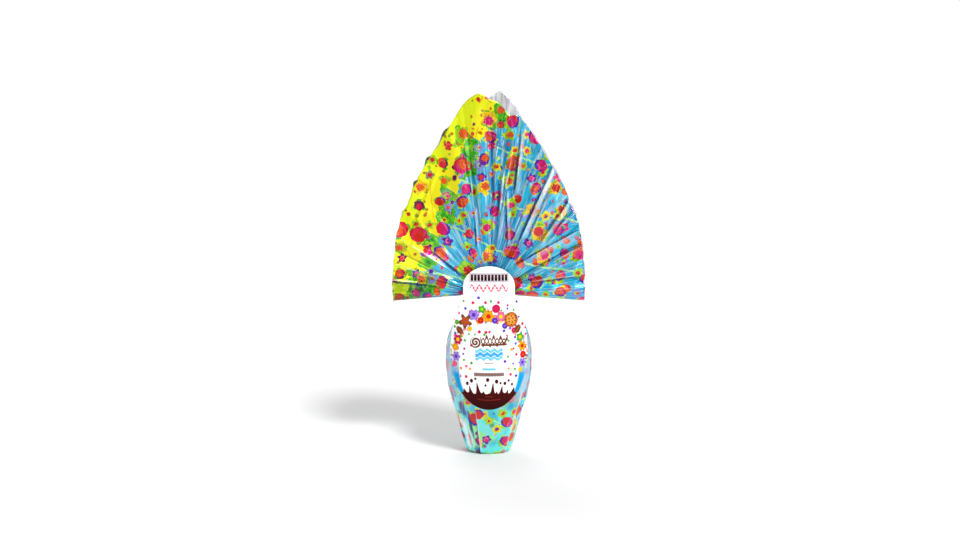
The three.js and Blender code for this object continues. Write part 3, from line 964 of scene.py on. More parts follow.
# Folds that cross the pleats, in the fan's plane from its centre: start, end, height and width.
CROSS_FOLDS = {
    "front": [
        ((40, 40), (72, 150), 3.0, 5.0), ((52, 118), (84, 134), -1.4, 4.0), ((-98, 84), (-70, 158), 1.2, 3.5),
        ((-104, 58), (-66, 120), -1.0, 4.0), ((20, 118), (38, 186), -1.6, 3.0),
        ((4, 150), (26, 216), 1.5, 3.5), ((60, 30), (108, 62), -1.6, 4.0),
        ((66, 8), (108, 22), 1.5, 4.0), ((-96, 8), (-58, 22), -1.4, 3.5),
    ],
    "back": [
        ((-40, 50), (-76, 140), 2.6, 5.0), ((50, 66), (96, 92), -1.6, 4.0), ((18, 120), (52, 176), 1.8, 4.0),
        ((-88, 40), (-60, 24), -1.6, 4.0),
    ],
}

RELIEF_LIMITS = (-5.2, 4.6)  # how far the film may stand in or out of its plane
PRINT_STEP = 7  # degrees of the fan over which the print near the neck goes on without a jump
BACK_PRINT_SHIFT = (260, 37)  # the back layer shows the print turned over, and another part of it

# Where each layer lies calm: its angles, how calm it is, and the radii between which it becomes so. Then the
# angles where its pleats are finer, in its upright part.
CALM = {"front": ((97, 108, 140, 152), 1, (55, 95)), "back": ((40, 50, 66, 76), 0.5, (60, 100))}
UPRIGHT = {"front": (62, 70, 98, 106), "back": (84, 92, 118, 126)}


def fan_angle(across):
    """The angle in the fan, in degrees from the right, of a line at this share from the left fold."""
    return FAN_HIGH - (FAN_HIGH - FAN_LOW) * across


def sheet_angle(angle, tip):
    """The angle on the flat sheet from the middle of its left edge, 45 degrees at the corner in the tip."""
    from_tip = np.abs((angle - tip) / (np.where(angle > tip, FAN_HIGH, FAN_LOW) - tip))
    blunted = np.hypot(from_tip, TIP_BLUNTING) / math.hypot(1, TIP_BLUNTING)
    opened = 45 * (1 - blunted) ** TIP_GATHER
    return opened, np.where(angle > tip, opened, 90 - opened)


def rim(layer, angle):
    """How far the layer's own cut rim lies from the fan's centre."""
    opened, _ = sheet_angle(angle, TIP_ANGLE[layer])
    return SHEET_HALF / np.cos(np.radians(opened)) - NECK_REACH + np.interp(angle, *zip(*RIM_TRIM[layer]))


def fan_reach(layer, angle):
    """How far the layer reaches from the fan's centre. On the right both layers end at nearly one rim."""
    front, back = rim("front", angle), rim("back", angle)
    if layer == "front":
        short = 0.9 * np.abs(wander(angle, 0, 9, 77)) + 0.2
        return mix(back - short, front, smooth(angle, 80, 84))
    peeks = sum(np.exp(-(((angle - place) / 1.7) ** 2)) for place in BACK_PEEKS)
    return mix(back, np.maximum(back, front - 1.5 + 3.6 * peeks), smooth(angle, 96, 100))


def pleat_relief(layer, pleats, angle, radius, along):
    """How far the pleats stand out: tight at the neck, calm in the bordered half of the front layer."""
    wide, mid, tight = (np.interp(angle, *lines) for lines in pleats)
    calm_angles, calmness, calm_radii = CALM[layer]
    quiet = 1 - 0.82 * calmness * span(angle, *calm_angles) * smooth(radius, *calm_radii)
    upright = span(angle, *UPRIGHT[layer])
    opened = (np.clip(radius, 0, 115) / 115) ** 1.3 * (1 - 0.3 * smooth(along, 0.8, 1))
    broad = 2.6 * wide * (1 - 0.45 * upright)
    fine = 0.8 * mid * smooth(radius, 18, 50) * (0.42 + 0.42 * upright)
    return ((broad + fine) * opened + 0.7 * tight * span(radius, 6, 24, 26, 52)) * quiet


def long_fold_relief(layer, angle, radius, along):
    relief = 0 * angle
    for place, height, width in LONG_FOLDS[layer]:
        lean = place + 2 * math.sin(place) * (along - 0.4)
        reach = 0.62 + 0.38 * math.sin(place * 7.7)
        fade = smooth(radius, 12, 40) * (1 - smooth(along, reach, reach + 0.5))
        relief += height * np.exp(-np.abs(angle - lean) / width) * fade
    return relief


def cross_fold_relief(layer, x, z):
    relief = 0 * x
    for start, end, height, width in CROSS_FOLDS[layer]:
        along, off = beside(x, z, start, end)
        relief += height * np.exp(-np.abs(off) / width) * span(along, -0.15, 0.25, 0.75, 1.15)
    return relief


def fan_lap_relief(layer, x, z):
    """How far the laps stand up and press the pleats flat, and the painted highlight on them and painted
    shade beside them.

    A lap stands up along its line and eases back to the film on the line's right-hand side.
    """
    relief, pressed, tight, shaded = 0 * x, 0 * x, 0 * x, 0 * x
    for start, end, height, width, tightness in FAN_LAPS[layer]:
        along, off = beside(x, z, start, end)
        there = span(along, -0.1, 0.12, 0.9, 1.1)
        relief += height * np.clip(1 - np.clip(off, 0, None) / width, 0, 1) * smooth(off, -1.5, 0.2) * there
        pressed = np.maximum(pressed, there * span(off, -3, 0, width * 0.8, width * 1.3))
        lap_highlight = there * span(off, -0.4, 0.9, width * 0.35, width * 0.85) * np.clip(0.35 + 0.9 * along, 0, 1)
        tight = np.maximum(tight, max(tightness, 0) * lap_highlight)
        shade = there * span(off, -3.6, -2.2, -0.9, 0.1)
        if tightness > 0:
            shade *= 1 - smooth(along, 0.4, 0.66)
        shaded = np.maximum(shaded, min(1.4 * abs(tightness), 1) * shade)
    return relief, pressed, tight, shaded


def fan_columns(layer, pleats):
    """Shares across the layer, with a column on every fold line so that the folds are crisp."""
    folds = [places for places, _ in pleats] + [[TIP_ANGLE[layer]], [fold[0] for fold in LONG_FOLDS[layer]]]
    lines = np.unique(np.round(np.clip(np.concatenate(folds), FAN_LOW, FAN_HIGH), 2))[::-1]
    angles = []
    for here, there in zip(lines, lines[1:]):
        steps = max(1, math.ceil((here - there) / FAN_COLUMN_STEP))
        angles.extend(np.linspace(here, there, steps, endpoint=False))
    angles.append(lines[-1])
    return (FAN_HIGH - np.array(angles)) / (FAN_HIGH - FAN_LOW)


def make_fan_layer(layer, seed, outside, inside):
    """One layer of the fan: half of the gathered film, opened out from the neck to its pointed rim."""
    side = -1 if layer == "front" else 1
    # Fold lines at three scales, from the wide pleats at the rim to the gathers at the neck.
    scales = ((30, 0.6), (66, 0.55), (118, 0.35))
    pleats = [fold_lines(FAN_LOW, FAN_HIGH, *scale, seed + i) for i, scale in enumerate(scales)]
    shares = fan_columns(layer, pleats)
    rows = min(FAN_ROWS, FAN_POINTS // len(shares))
    piece, column, row = flat_sheet("fan_" + layer, len(shares), rows)

    across = shares[column]
    angle = fan_angle(across)
    turn = np.radians(angle)
    reach = fan_reach(layer, angle)
    uneven = 0.9 * wander(angle, 0, 13, seed + 3) + 0.5 * wander(angle, 0, 4, seed + 4)
    distance = -3 + row / (rows - 1) * (reach - FAN_START + uneven + 3)
    along = np.clip(distance / (reach - FAN_START), 0, 1.1)
    radius = FAN_START + distance
    flared = smooth(distance, 0, ROOT_BEND)

    # The fold at each side of the layer, where it turns into the other one.
    from_side = np.clip(np.minimum(across, 1 - across) / SIDE_FOLD_SHARE, 0, 1)
    flat = np.sqrt(1 - (1 - from_side) ** 2)

    x, rise = radius * np.cos(turn), radius * np.sin(turn)
    laps, pressed, lap_highlight, shaded = fan_lap_relief(layer, x, rise)
    relief = pleat_relief(layer, pleats, angle, radius, along) + cross_fold_relief(layer, x, rise)
    relief = (relief + long_fold_relief(layer, angle, radius, along)) * (1 - 0.8 * pressed) + laps
    relief += (0.7 * wander(x, rise, 55, seed + 5) + 0.22 * wander(x, rise, 14, seed + 6)) * along
    relief += 2.2 * smooth(along, 0.86, 1) * wander(angle, 0, 17, seed + 7)
    relief = np.clip(relief, *RELIEF_LIMITS) * flat * flared

    # The layer opens from half a ring of gathers round the neck into its own plane.
    tight = np.interp(angle, *pleats[2]) * 0.4 * (1 - flared)
    round_neck = np.pi * across
    neck_x, neck_y = -np.cos(round_neck), side * np.sin(round_neck)
    half_gap = mix(FAN_HALF_GAP_ROOT, FAN_HALF_GAP_RIM, smooth(along, 0.1, 1))
    y = side * half_gap * flat + FAN_LEAN_BACK * (np.clip(rise, 0, None) / FAN_TALLEST) ** 2
    fold_sheet(
        piece,
        mix((NECK_RADIUS + 0.3) * neck_x, x, flared) + neck_x * tight,
        mix((NECK_RADIUS + 0.3) * neck_y, y, flared) + side * relief + neck_y * tight,
        mix(TIE_TOP + distance, FAN_HEIGHT + rise, flared),
    )

    creases = crease_strength(relief, angle, radius, column, row, 2)
    creases *= mix(0.3, 1, smooth(radius, 35, 90)) * smooth(radius, 12, 30)
    # Painted shade on the lower left corner of the front layer, as on a facet turned from the light.
    if layer == "front":
        shaded = np.maximum(shaded, 0.45 * (1 - smooth(rise, 12, 17)) * (1 - smooth(x, -76, -58)))
    keep_value(piece, "crease", creases - 1.8 * shaded)
    # The painted highlight where the laps draw the film tight.
    keep_value(piece, "tight", lap_highlight)
    if layer == "back":
        # The rim is painted dark olive in narrow bands where it peeks out beyond the front layer.
        at_peeks = sum(np.exp(-(((angle - place) / 2.1) ** 4)) for place in BACK_PEEKS[:3])
        keep_value(piece, "dark_rim", at_peeks * smooth(distance, reach - FAN_START - 7, reach - FAN_START - 5))

    # The print lies flat in the fan's plane. Near the neck each pleat hides a little of it.
    points, lowest = face_corners(piece, column)
    hidden = 5 * (1 - smooth(radius[points], 30, 120))
    jump = np.sin(np.floor(fan_angle(shares[lowest]) / PRINT_STEP) * 12.9898) * hidden
    u = x[points] - np.sin(turn[points]) * jump
    v = rise[points] + np.cos(turn[points]) * jump
    if layer == "back":
        u, v = BACK_PRINT_SHIFT[0] - u, BACK_PRINT_SHIFT[1] + v
    on_sheet = np.radians(sheet_angle(angle, TIP_ANGLE[layer])[1][points])
    sheet_radius = (radius + NECK_REACH)[points]
    keep_map(piece, "print", u, v)
    keep_map(piece, "sheet", sheet_radius * np.cos(on_sheet), sheet_radius * np.sin(on_sheet))
    keep_map(piece, "folds", turn[points] * 130, distance[points] * 0.07)

    face_towards(piece, side)
    smooth_faces(piece, 14)
    give_materials(piece, outside, inside)
    apply_modifier(
        piece, "SOLIDIFY", thickness=FILM_THICKNESS * MM, offset=-1, material_offset=1, material_offset_rim=0
    )
    return piece


# ---- The card label ------------------------------------------------------------------------------


def card_half_width(height):
    """Half the card's width: an egg shape with a round-topped tab rising from its crown."""
    from_widest = height - CARD_WIDEST_HEIGHT
    reach = np.where(from_widest < 0, CARD_WIDEST_HEIGHT - CARD_BOTTOM, CARD_CROWN_REACH)
    egg = CARD_HALF_WIDTH * np.sqrt(np.clip(1 - (from_widest / reach) ** 2, 0, 1))
    into_round = np.clip(height - (TAB_TOP - TAB_ROUND), 0, None) / TAB_ROUND
    tab = np.where(from_widest > 0, TAB_HALF_WIDTH * np.sqrt(np.clip(1 - into_round**2, 0, 1)), 0)
    return np.maximum(egg, tab)


def card_depth(x, height):
    """The card's back face: fixed to the belly, leaning towards the neck above it, bent round the egg."""
    up = np.clip((height - EGG_WIDEST_HEIGHT) / (TAB_TOP - EGG_WIDEST_HEIGHT), 0, None)
    down = np.clip((EGG_WIDEST_HEIGHT - height) / (EGG_WIDEST_HEIGHT - CARD_BOTTOM), 0, None)
    lean = CARD_LEAN_TOP * up**1.35 + CARD_LEAN_BOTTOM * down**2
    bend = CARD_BEND_RADIUS - np.sqrt(CARD_BEND_RADIUS**2 - x * x)
    return -(EGG_RADIUS + CARD_BELLY_GAP) + lean + bend * mix(1, 0.55, smooth(up, 0.3, 1))


def make_label(card, board):
    """The die-cut card, with softly rounded cut edges."""
    columns, rows = 57, 161
    piece, column, row = flat_sheet("card_label", columns, rows)
    share = (1 - np.cos(np.pi * row / (rows - 1))) / 2
    height = mix(CARD_BOTTOM + 0.02, TAB_TOP - 0.02, share)
    across = 2 * column / (columns - 1) - 1
    x = card_half_width(height) * np.sin(across * math.pi / 2)
    warp = 0.25 * wander(x, height, 90, 41) * smooth(np.abs(height - 110), 25, 70)
    fold_sheet(piece, x, card_depth(x, height) + warp, height)
    points, _ = face_corners(piece, column)
    keep_map(piece, "art", CARD_BEND_RADIUS * np.arcsin(x[points] / CARD_BEND_RADIUS), height[points])
    edit_all(piece, bpy.ops.mesh.remove_doubles, threshold=WELD_DISTANCE * MM)
    face_towards(piece, -1)
    give_materials(piece, card, board)
    apply_modifier(
        piece, "SOLIDIFY", thickness=CARD_THICKNESS * MM, offset=1, material_offset=1, material_offset_rim=1
    )
    round_edges(piece, 0.16, 60)
    smooth_faces(piece, 40)
    return piece


def board_material():
    """The card's bare back and cut edges: warm grey-white board with fine fibres."""
    material, tree = new_material("bare_board")
    place = object_place(tree)
    fibre = noise(place, 1300, 5)
    tone = paint(ink(226, 222, 214), ink(242, 240, 236), fibre)
    finish_material(tree, {
        "Base Color": paint(tone, ink(206, 200, 190), above(noise(place, 240, 2), 0.68, 0.03)),
        "Roughness": 0.75,
        "Specular IOR Level": 0.2,
        "Normal": bump(fibre, 0.06, 0.5),
    })
    return material


# The label's art, in millimetres: x from its middle line and height in the frame.
ART_EGG_CENTRE = 110
ART_EGG_HALF_WIDTH = 36.3
ART_EGG_UP = 46.5
ART_EGG_DOWN = 55
CHOCOLATE_LEVEL = 76.5
CHOCOLATE_SPLASHES = [  # place across, width and height
    (-27.5, 1.7, 5), (-20.5, 1.3, 7.5), (-12, 1.5, 13), (-6, 1.0, 2.5), (4, 1.4, 12),
    (8.5, 1.0, 3), (13.5, 1.3, 8), (20.5, 1.0, 4.5), (27, 1.5, 5.5),
]
CHOCOLATE_DROPS = [  # place across, height and size
    (-25, 87.5, 1.7), (-20, 91, 1.9), (-15.5, 93.5, 1.3), (-4, 86, 1.2), (-1.5, 92.5, 1.9),
    (8.5, 90.5, 2.0), (13, 88.5, 1.2), (18, 88, 1.7), (22.5, 91, 1.3), (26.5, 86.5, 1.4),
]
ORNAMENT_FIELDS = [(18.5, 114, 143), (10, 102, 114), (19.5, 93, 102)]  # half width, bottom and top
BEANS = [(33.5, 148.5, 0.9), (-34.5, 147, -0.7)]  # place across, height and turn

BROWN = ink(105, 55, 30)
DARK_CHOCOLATE = ink(46, 4, 4)
CHOCOLATE = ink(74, 4, 3)
COOKIE = ink(205, 108, 30)
CARD_WHITE = ink(252, 250, 248)
LABEL_BLUE = ink(6, 154, 216)
LABEL_SKY = ink(105, 200, 242)
WAVE_BLUE = ink(60, 165, 235)
BLUSH = ink(236, 80, 112)
TAUPE = ink(128, 98, 92)
AMBER = ink(246, 160, 15)
BERRY = ink(205, 20, 85)
GRAPE = ink(92, 50, 185)
LAVENDER = ink(160, 125, 220)
LEAF = ink(70, 170, 40)
PEARLS = [ink(242, 130, 165), ink(176, 145, 235), ink(248, 200, 70), ink(150, 212, 110), ink(205, 128, 88)]

# Sweets of the garland: place across, height, size, petals (none on a plain sweet), and the inks of the sweet
# and its core.
GARLAND = [
    (-41.2, 109.0, 3.4, 0, PINK, BERRY), (-39.3, 117.6, 5.6, 6, LAVENDER, GRAPE),
    (-40.5, 128.0, 4.0, 0, AMBER, SUNNY), (-37.0, 136.6, 5.8, 6, BERRY, SUNNY),
    (-22.2, 149.6, 2.9, 0, SUNNY, ORANGE), (-38.2, 155.6, 2.7, 0, LEAF, LIME),
    (-17.4, 165.0, 6.5, 6, LAVENDER, GRAPE), (-9.4, 159.2, 3.7, 0, RED, ORANGE),
    (-8.0, 171.4, 4.6, 5, LEAF, LIME), (-0.6, 163.6, 7.4, 6, AMBER, RED),
    (6.6, 159.0, 3.4, 0, GRAPE, LAVENDER), (8.0, 172.0, 4.7, 0, BERRY, RED),
    (13.4, 163.2, 6.0, 6, PINK, SUNNY), (18.0, 153.0, 3.4, 0, GRAPE, LAVENDER),
    (36.8, 139.4, 5.3, 5, LEAF, SUNNY), (28.6, 147.6, 3.0, 0, BERRY, PINK), (39.7, 129.4, 6.0, 6, AMBER, RED),
    (40.8, 119.6, 4.0, 0, RED, ORANGE), (39.9, 110.6, 5.2, 6, LAVENDER, GRAPE),
    (37.2, 102.6, 2.9, 0, SUNNY, ORANGE),
]


def sweets(ground, x, h):
    """A garland of sweets and sugar flowers round the upper half of the egg in the art."""
    for place, level, size, petals, colour, core_colour in GARLAND:
        px, py = x - place, h - level
        radius = length_of(px, py)
        edge, core = size, size * 0.22
        if petals:
            edge = size * 0.88 + cosine(arctan(py, px) * petals) * (size * 0.16)
            core = size * 0.36
        dark = tuple(c * 0.55 for c in colour[:3]) + (1,)
        shade = above(radius, edge * 0.74, 0.3) * 0.6
        sweet = layered(colour, (dark, shade), (core_colour, below(radius, core, 0.2)))
        ground = paint(ground, sweet, below(radius, edge, 0.2))
    return ground


def biscuits(ground, x, h):
    """A round biscuit with chocolate chips on the right, a star biscuit on the left and two cocoa beans."""
    px, py = x - 25.5, h - 159.5
    radius = length_of(px, py)
    chips, _, _ = scatter(output(x.tree, "CombineXYZ", {"X": px, "Y": py}), 3.6, 0.6)
    cookie = layered(
        COOKIE,
        (ink(232, 150, 60), below(radius, 5.4, 0.5)),
        (BROWN, below(length_of(*split(chips)), 0.95, 0.2)),
        (ink(150, 70, 20), above(radius, 7.3, 0.3)),
    )
    ground = paint(ground, cookie, below(radius, 8.3, 0.25))

    px, py = x + 27.5, h - 157.5
    radius = length_of(px, py)
    edge = 6.4 + cosine((arctan(py, px) + 0.4) * 5) * 2.1
    star = paint(BROWN, ink(185, 80, 35), below(radius, edge * 0.68, 0.4))
    ground = paint(ground, star, below(radius, edge, 0.25))

    for place, level, turn in BEANS:
        along, across = turned_by(x - place, h - level, turn)
        bean = below(length_of(along * 0.62, across), 3.3, 0.25)
        ground = paint(ground, paint(BROWN, COOKIE, below(abs(across), 0.4, 0.2)), bean)
    return ground


def turned_by(x, y, turn):
    """The coordinates x and y, seen from axes that are turned by an angle."""
    c, s = math.cos(turn), math.sin(turn)
    return x * c + y * s, y * c - x * s


def confetti(ground, where):
    """Small coloured sugar dots on the white of the card, kept clear of the ornaments."""
    offset, place, (one, two, three) = scatter(where, 7.3, 0.8, (1.5, 0))
    px, py = turned(offset, one * math.tau)
    square = larger(abs(px), abs(py))
    shape = below(mix(square, length_of(px, py), two), 1.15 + one * 0.6)
    cx, cy = split(place)
    away = abs(cx - 1.5)
    in_middle = sum(
        below(away, reach, 0.1) * between(cy, low, high, 0.1) for reach, low, high in ORNAMENT_FIELDS
    )
    there = (1 - in_middle) * between(cy, 95, 185, 0.1)
    hue = pick(two, BERRY, GRAPE, LEAF, AMBER, BERRY, GRAPE, LEAF, PINK)
    return paint(ground, hue, shape * there * above(three, 0.15, SHARP))


def sugar_pearls(ground, where, egg_radius, h):
    """Pale sugar pearls that fill the gaps in the garland round the egg."""
    offset, _, (one, two, three) = scatter(where, 4, 0.6, (3, 8))
    pearl = below(length_of(*split(offset)), 1.1 + three * 0.8, 0.3) * above(one, 0.12, SHARP)
    hue = paint(pick(two, *PEARLS), ink(120, 62, 30), above(one, 0.86, SHARP) * 0.8)
    return paint(ground, hue, pearl * between(egg_radius, 1.05, 1.36, 0.03) * above(h, 101, 4))


def line(x, distance, half_width, half_length):
    """The mask of a line where the distance is small, as far as a half length from the middle."""
    return below(abs(distance), half_width, 0.25) * below(abs(x), half_length)


def ornaments(ground, x, h):
    """Plain ornaments down the middle: chocolate squares, a vine, a scroll, waves and dotted lines."""
    away = abs(x)
    shade = between(h, 200.6, 210.6, 0.6) * below(away, 22.6)
    bar = between(h, 202.3, 208.9) * below(away, 21.8)
    gap = zigzag(x + 1.95, 1.95)
    bud = length_of(zigzag(x + 2.2, 4.36) - 2.2, h - 194.3)
    level, right_part = h - 136.5, x - 5.8
    swing = sine(x * 0.8 + 0.6) * (1.08 - (away / 24) ** 2 * 0.7) * 4.6
    cx, cy = x + 15.3, h - 135
    from_curl = length_of(cx, cy)
    arm = zigzag(from_curl / 3.2 + arctan(cy, cx) / math.tau, 0.5)
    crest = h + sine(x * 0.8) * 1.2
    blue_bead = length_of(zigzag(x, 1.6) - 0.8, h - 104.8)
    dot = length_of(zigzag(x, 1.7) - 0.85, (h - 98.6) * 0.42)
    return layered(
        ground,
        # A bar of chocolate squares on the tab, with a soft shade under and over it.
        (ink(168, 150, 165), shade * 0.8),
        (ink(38, 12, 20), bar),
        (ink(245, 235, 240), bar * below(gap, 0.38, 0.15) * 0.9),
        (ink(120, 70, 80), bar * between(gap, 0.7, 1.35, 0.15) * between(h, 206.2, 207.8)),
        # A pink vine with buds along it.
        (BLUSH, line(x, h - 194.3 + sine(x * 0.72) * 3.3, 1, 22)),
        (BLUSH, line(x, h - 193.6 - sine(x * 1.31) * 2.4, 0.4, 18.5)),
        (BLUSH, below(bud, 1.2, 0.2) * below(away, 21)),
        # A brown scroll across the egg, with a curl at its left end.
        (ink(130, 80, 50), line(right_part, level - swing * 0.6, 1.1, 14)),
        (BROWN, line(right_part, level + swing, 2.2, 15.6)),
        (BROWN, line(right_part, h - 132.2 - x * 0.02, 1.1, 14.5)),
        (BROWN, above(arm, 0.16, 0.04) * below(from_curl, 6.3)),
        # Three blue waves, a short dash, a row of blue beads and a dotted line.
        (LABEL_SKY, line(x, crest - 125.8, 1.7, 15.5)),
        (WAVE_BLUE, line(x, crest - 121.4, 2, 15.5)),
        (LABEL_SKY, line(x, crest - 117.3, 1.5, 15.5)),
        (TAUPE, line(x, h - 112, 0.5, 5)),
        (LABEL_SKY, below(blue_bead, 1.35) * below(away, 7.5)),
        (TAUPE, below(dot, 1) * below(away, 17)),
    )


def chocolate_pool(ground, x, h):
    """Melted chocolate along the bottom of the card, with splashes and drops above it."""
    level = sine(x * 0.5) * 0.7 + CHOCOLATE_LEVEL
    surface = level
    for place, width, height in CHOCOLATE_SPLASHES:
        off = abs(x - place - (h - CHOCOLATE_LEVEL) * (place * 0.012)) / width
        surface = larger(surface, level + calc("EXPONENT", off**2 * -0.8) * height)
    pool = below(h, surface, 0.2)
    for place, level, size in CHOCOLATE_DROPS:
        pool = larger(pool, below(length_of(x - place, (h - level) * 0.8), size, 0.2))
    colour = layered(
        DARK_CHOCOLATE,
        (CHOCOLATE, ramp(h, 60, 82)),
        (ink(120, 30, 20), line(x, h - 68.5 - x**2 * 0.006, 0.55, 13)),
        (ink(120, 30, 20), line(x, h - 72.5, 0.5, 4.5)),
    )
    return paint(ground, colour, pool), pool


def card_material():
    """White coated card with its print."""
    material, tree = new_material("card")
    where = output(tree, "UVMap", uv_map="art")
    x, h = split(where)
    above_centre = h - ART_EGG_CENTRE
    reach = mix(1 / ART_EGG_DOWN, 1 / ART_EGG_UP, above(above_centre, 0, SHARP))
    egg_radius = length_of(x / ART_EGG_HALF_WIDTH, above_centre * reach)

    # The blue field round the lower half of the egg, fading to white above.
    fade = ramp(h, 98, 122, 1, 0)
    blue = paint(LABEL_BLUE, LABEL_SKY, ramp(egg_radius, 1.1, 1.4))
    ground = paint(confetti(CARD_WHITE, where), blue, fade * above(egg_radius, 1, 0.006))
    outline = between(egg_radius, 0.975, 1.005, 0.008)
    ground = paint(ground, ink(150, 205, 240), outline * (0.4 + fade * 0.5))
    ground = sugar_pearls(ground, where, egg_radius, h)
    for art in (sweets, biscuits, ornaments):
        ground = art(ground, x, h)
    ground, pool = chocolate_pool(ground, x, h)

    fibre = noise(object_place(tree), 900, 4)
    finish_material(tree, {
        "Base Color": ground,
        "Roughness": 0.42 + fibre * 0.16 - pool * 0.1,
        "Specular IOR Level": 0.08,
        "Normal": bump(fibre, 0.04, 0.4),
    })
    return material


# ---- The tie -------------------------------------------------------------------------------------


def tie_material():
    """White plastic, softly ribbed, a little milky."""
    material, tree = new_material("tie_plastic")
    place = object_place(tree)
    cloud = noise(place, 400, 3)
    ribs = sine(split(place, 3)[2] * (math.tau / (0.7 * MM)))
    finish_material(tree, {
        "Base Color": paint(ink(232, 232, 230), ink(250, 250, 250), cloud),
        "Roughness": 0.28 + cloud * 0.15,
        "Subsurface Weight": 0.1,
        "Subsurface Radius": (0.002, 0.002, 0.002),
        "Normal": bump(ribs + cloud, 0.05, 0.6),
    })
    return material


def make_band(outer, plastic):
    """A flat plastic band round the neck."""
    choose()
    bpy.ops.mesh.primitive_cylinder_add(
        vertices=96, radius=outer - 0.35 * MM, depth=(TIE_WIDTH - 0.8) * MM, end_fill_type="NOTHING",
        location=(0, 0, TIE_HEIGHT * MM),
    )
    band = new_piece("neck_band")
    bpy.ops.object.transform_apply(location=True, rotation=True, scale=True)
    edit_all(band, bpy.ops.mesh.subdivide, number_cuts=2)
    apply_modifier(band, "SOLIDIFY", thickness=0.7 * MM, offset=0)
    round_edges(band, 0.2, 50)
    smooth_faces(band, 40)
    give_materials(band, plastic)
    return band


def make_tail(outer, plastic):
    """The band's two ends, twisted together behind the neck and bent down."""
    length, steps, twist = 20 * MM, 26, math.radians(24)
    centre = Vector((0, outer - 0.2 * MM, TIE_HEIGHT * MM))
    choose()
    bpy.ops.mesh.primitive_circle_add(
        vertices=16, radius=1.25 * MM, fill_type="NGON", location=centre, rotation=(math.pi / 2, 0, 0)
    )
    tail = new_piece("tie_tail")
    bpy.ops.object.transform_apply(location=True, rotation=True, scale=True)
    bpy.ops.object.mode_set(mode="EDIT")
    bpy.ops.mesh.select_all(action="SELECT")
    bpy.ops.transform.resize(value=(1, 1, 0.55), center_override=centre)
    for step in range(1, steps + 1):
        move = Vector((0.06 * MM, 0.78 * length / steps, -0.54 * MM * step / steps))
        bpy.ops.mesh.extrude_region_move(TRANSFORM_OT_translate={"value": move})
        centre = centre + move
        bpy.ops.transform.rotate(value=twist, orient_axis="Y", orient_type="GLOBAL", center_override=centre)
    bpy.ops.transform.resize(value=(0.6, 0.6, 0.6), center_override=centre)
    bpy.ops.object.mode_set(mode="OBJECT")
    edit_all(tail, bpy.ops.mesh.normals_make_consistent, inside=False)
    smooth_faces(tail, 40)
    give_materials(tail, plastic)
    return tail


def make_tie(plastic):
    low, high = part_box("neck_tie")
    outer = high.x if abs(high.x) < abs(low.x) else -low.x
    return make_band(outer, plastic), make_tail(outer, plastic)


# ---- The studio ----------------------------------------------------------------------------------

CAMERA_DISTANCE = 3100
CAMERA_RISE = math.radians(10)
CAMERA_AIM = (-10.2, 0, 210)
CAMERA_LENS = 101.9
ROOM_LEFT = 0.2
ROOM_RIGHT = 0.36
ROOM_BEHIND = 0.95
BACKDROP = 1.05
KEY_POWER = 2.5
KEY_DIRECTION = (-0.57, 1, -1.3)
BACK_LAMP_POWER = 18
BACK_LAMP_PLACE = (-0.4, 1.9, 2.2)  # metres
BACK_LAMP_DIRECTION = (0.4, -1.9, -2)
FLOOR_RADIUS = 1.05  # metres

# Tall bright windows in the room: degrees to the right of the camera, half width and brightness.
WINDOW_STRIPS = [
    (-118, 5, 2.5), (-62, 3, 2), (-33, 1.8, 2.4), (-9, 1.5, 2.9),
    (11, 1.8, 3.5), (33, 2.4, 3.4), (58, 3, 2.6), (112, 5, 2.5),
]


def make_floor():
    choose()
    bpy.ops.mesh.primitive_circle_add(vertices=128, radius=FLOOR_RADIUS, fill_type="NGON")
    floor = new_piece("studio_floor")
    material, tree = new_material("studio_floor")
    cloud = noise(object_place(tree), 3, 3)
    finish_material(tree, {
        "Base Color": paint(ink(230, 230, 231), ink(233, 233, 234), cloud),
        "Roughness": 0.7,
        "Specular IOR Level": 0.1,
    })
    give_materials(floor, material)


def place_in_scene(name, data, place=(0, 0, 0)):
    thing = bpy.data.objects.new(name, data)
    bpy.context.collection.objects.link(thing)
    thing.location = place
    return thing


def add_lamp(name, kind, power, direction, place=(0, 0, 0), **settings):
    """A lamp that shines in a direction."""
    light = bpy.data.lights.new(name, kind)
    light.energy = power
    for key, value in settings.items():
        setattr(light, key, value)
    place_in_scene(name, light, place).rotation_euler = Vector(direction).to_track_quat("-Z", "Y").to_euler()


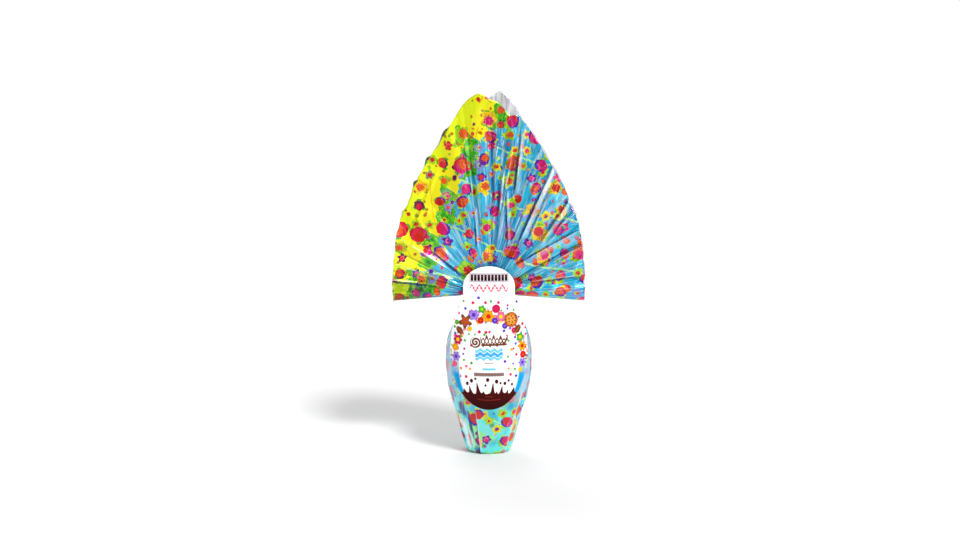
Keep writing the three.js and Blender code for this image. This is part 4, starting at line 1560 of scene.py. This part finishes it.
def make_room():
    """A room that is dimmer on the left than on the right, with tall window strips and a white backdrop."""
    world = bpy.data.worlds.new("studio")
    bpy.context.scene.world = world
    world.use_nodes = True
    tree = world.node_tree
    x, y, z = split(output(tree, "TexCoord", name="Generated"), 3)
    wall = mix(ROOM_LEFT, ROOM_RIGHT, ramp(x, -0.45, 0.5))
    turn = arctan(x, -y) * (180 / math.pi)
    for place, half_width, power in WINDOW_STRIPS:
        wall += below(abs(turn - place), half_width, 0.6) * below(abs(z), 0.62, 0.1) * power
    wall = mix(wall, ROOM_BEHIND, ramp(y, -0.05, 0.35))
    background = tree.nodes["Background"]
    put(background.inputs["Color"], (1, 1, 1, 1))
    put(background.inputs["Strength"], mix(wall, BACKDROP, output(tree, "LightPath", name="Is Camera Ray")))


def make_studio():
    make_floor()
    make_room()
    add_lamp("key", "SUN", KEY_POWER, KEY_DIRECTION, angle=math.radians(14))
    add_lamp(
        "back", "AREA", BACK_LAMP_POWER, BACK_LAMP_DIRECTION, BACK_LAMP_PLACE,
        shape="RECTANGLE", size=1.5, size_y=1,
    )
    back_off = Vector((0, -math.cos(CAMERA_RISE), math.sin(CAMERA_RISE))) * CAMERA_DISTANCE
    camera = place_in_scene("camera", bpy.data.cameras.new("camera"), (Vector(CAMERA_AIM) + back_off) * MM)
    camera.rotation_euler = (math.pi / 2 - CAMERA_RISE, 0, 0)
    camera.data.lens = CAMERA_LENS
    camera.data.sensor_width = 36
    camera.data.clip_end = 50
    bpy.context.scene.camera = camera
    bpy.context.scene.view_settings.view_transform = "Standard"


# ---- The finished object -------------------------------------------------------------------------


def main():
    outside, inside = film_materials()
    wrap = make_wrap(outside)
    front = make_fan_layer("front", 101, outside, inside)
    back = make_fan_layer("back", 201, outside, inside)
    for piece in (wrap, front, back):
        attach(piece, "root")
        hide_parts("wrapped_egg")

    label = make_label(card_material(), board_material())
    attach(label, "root")
    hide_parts("label_card")

    for piece in make_tie(tie_material()):
        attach(piece, "root")
        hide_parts("neck_tie")

    make_studio()


main()
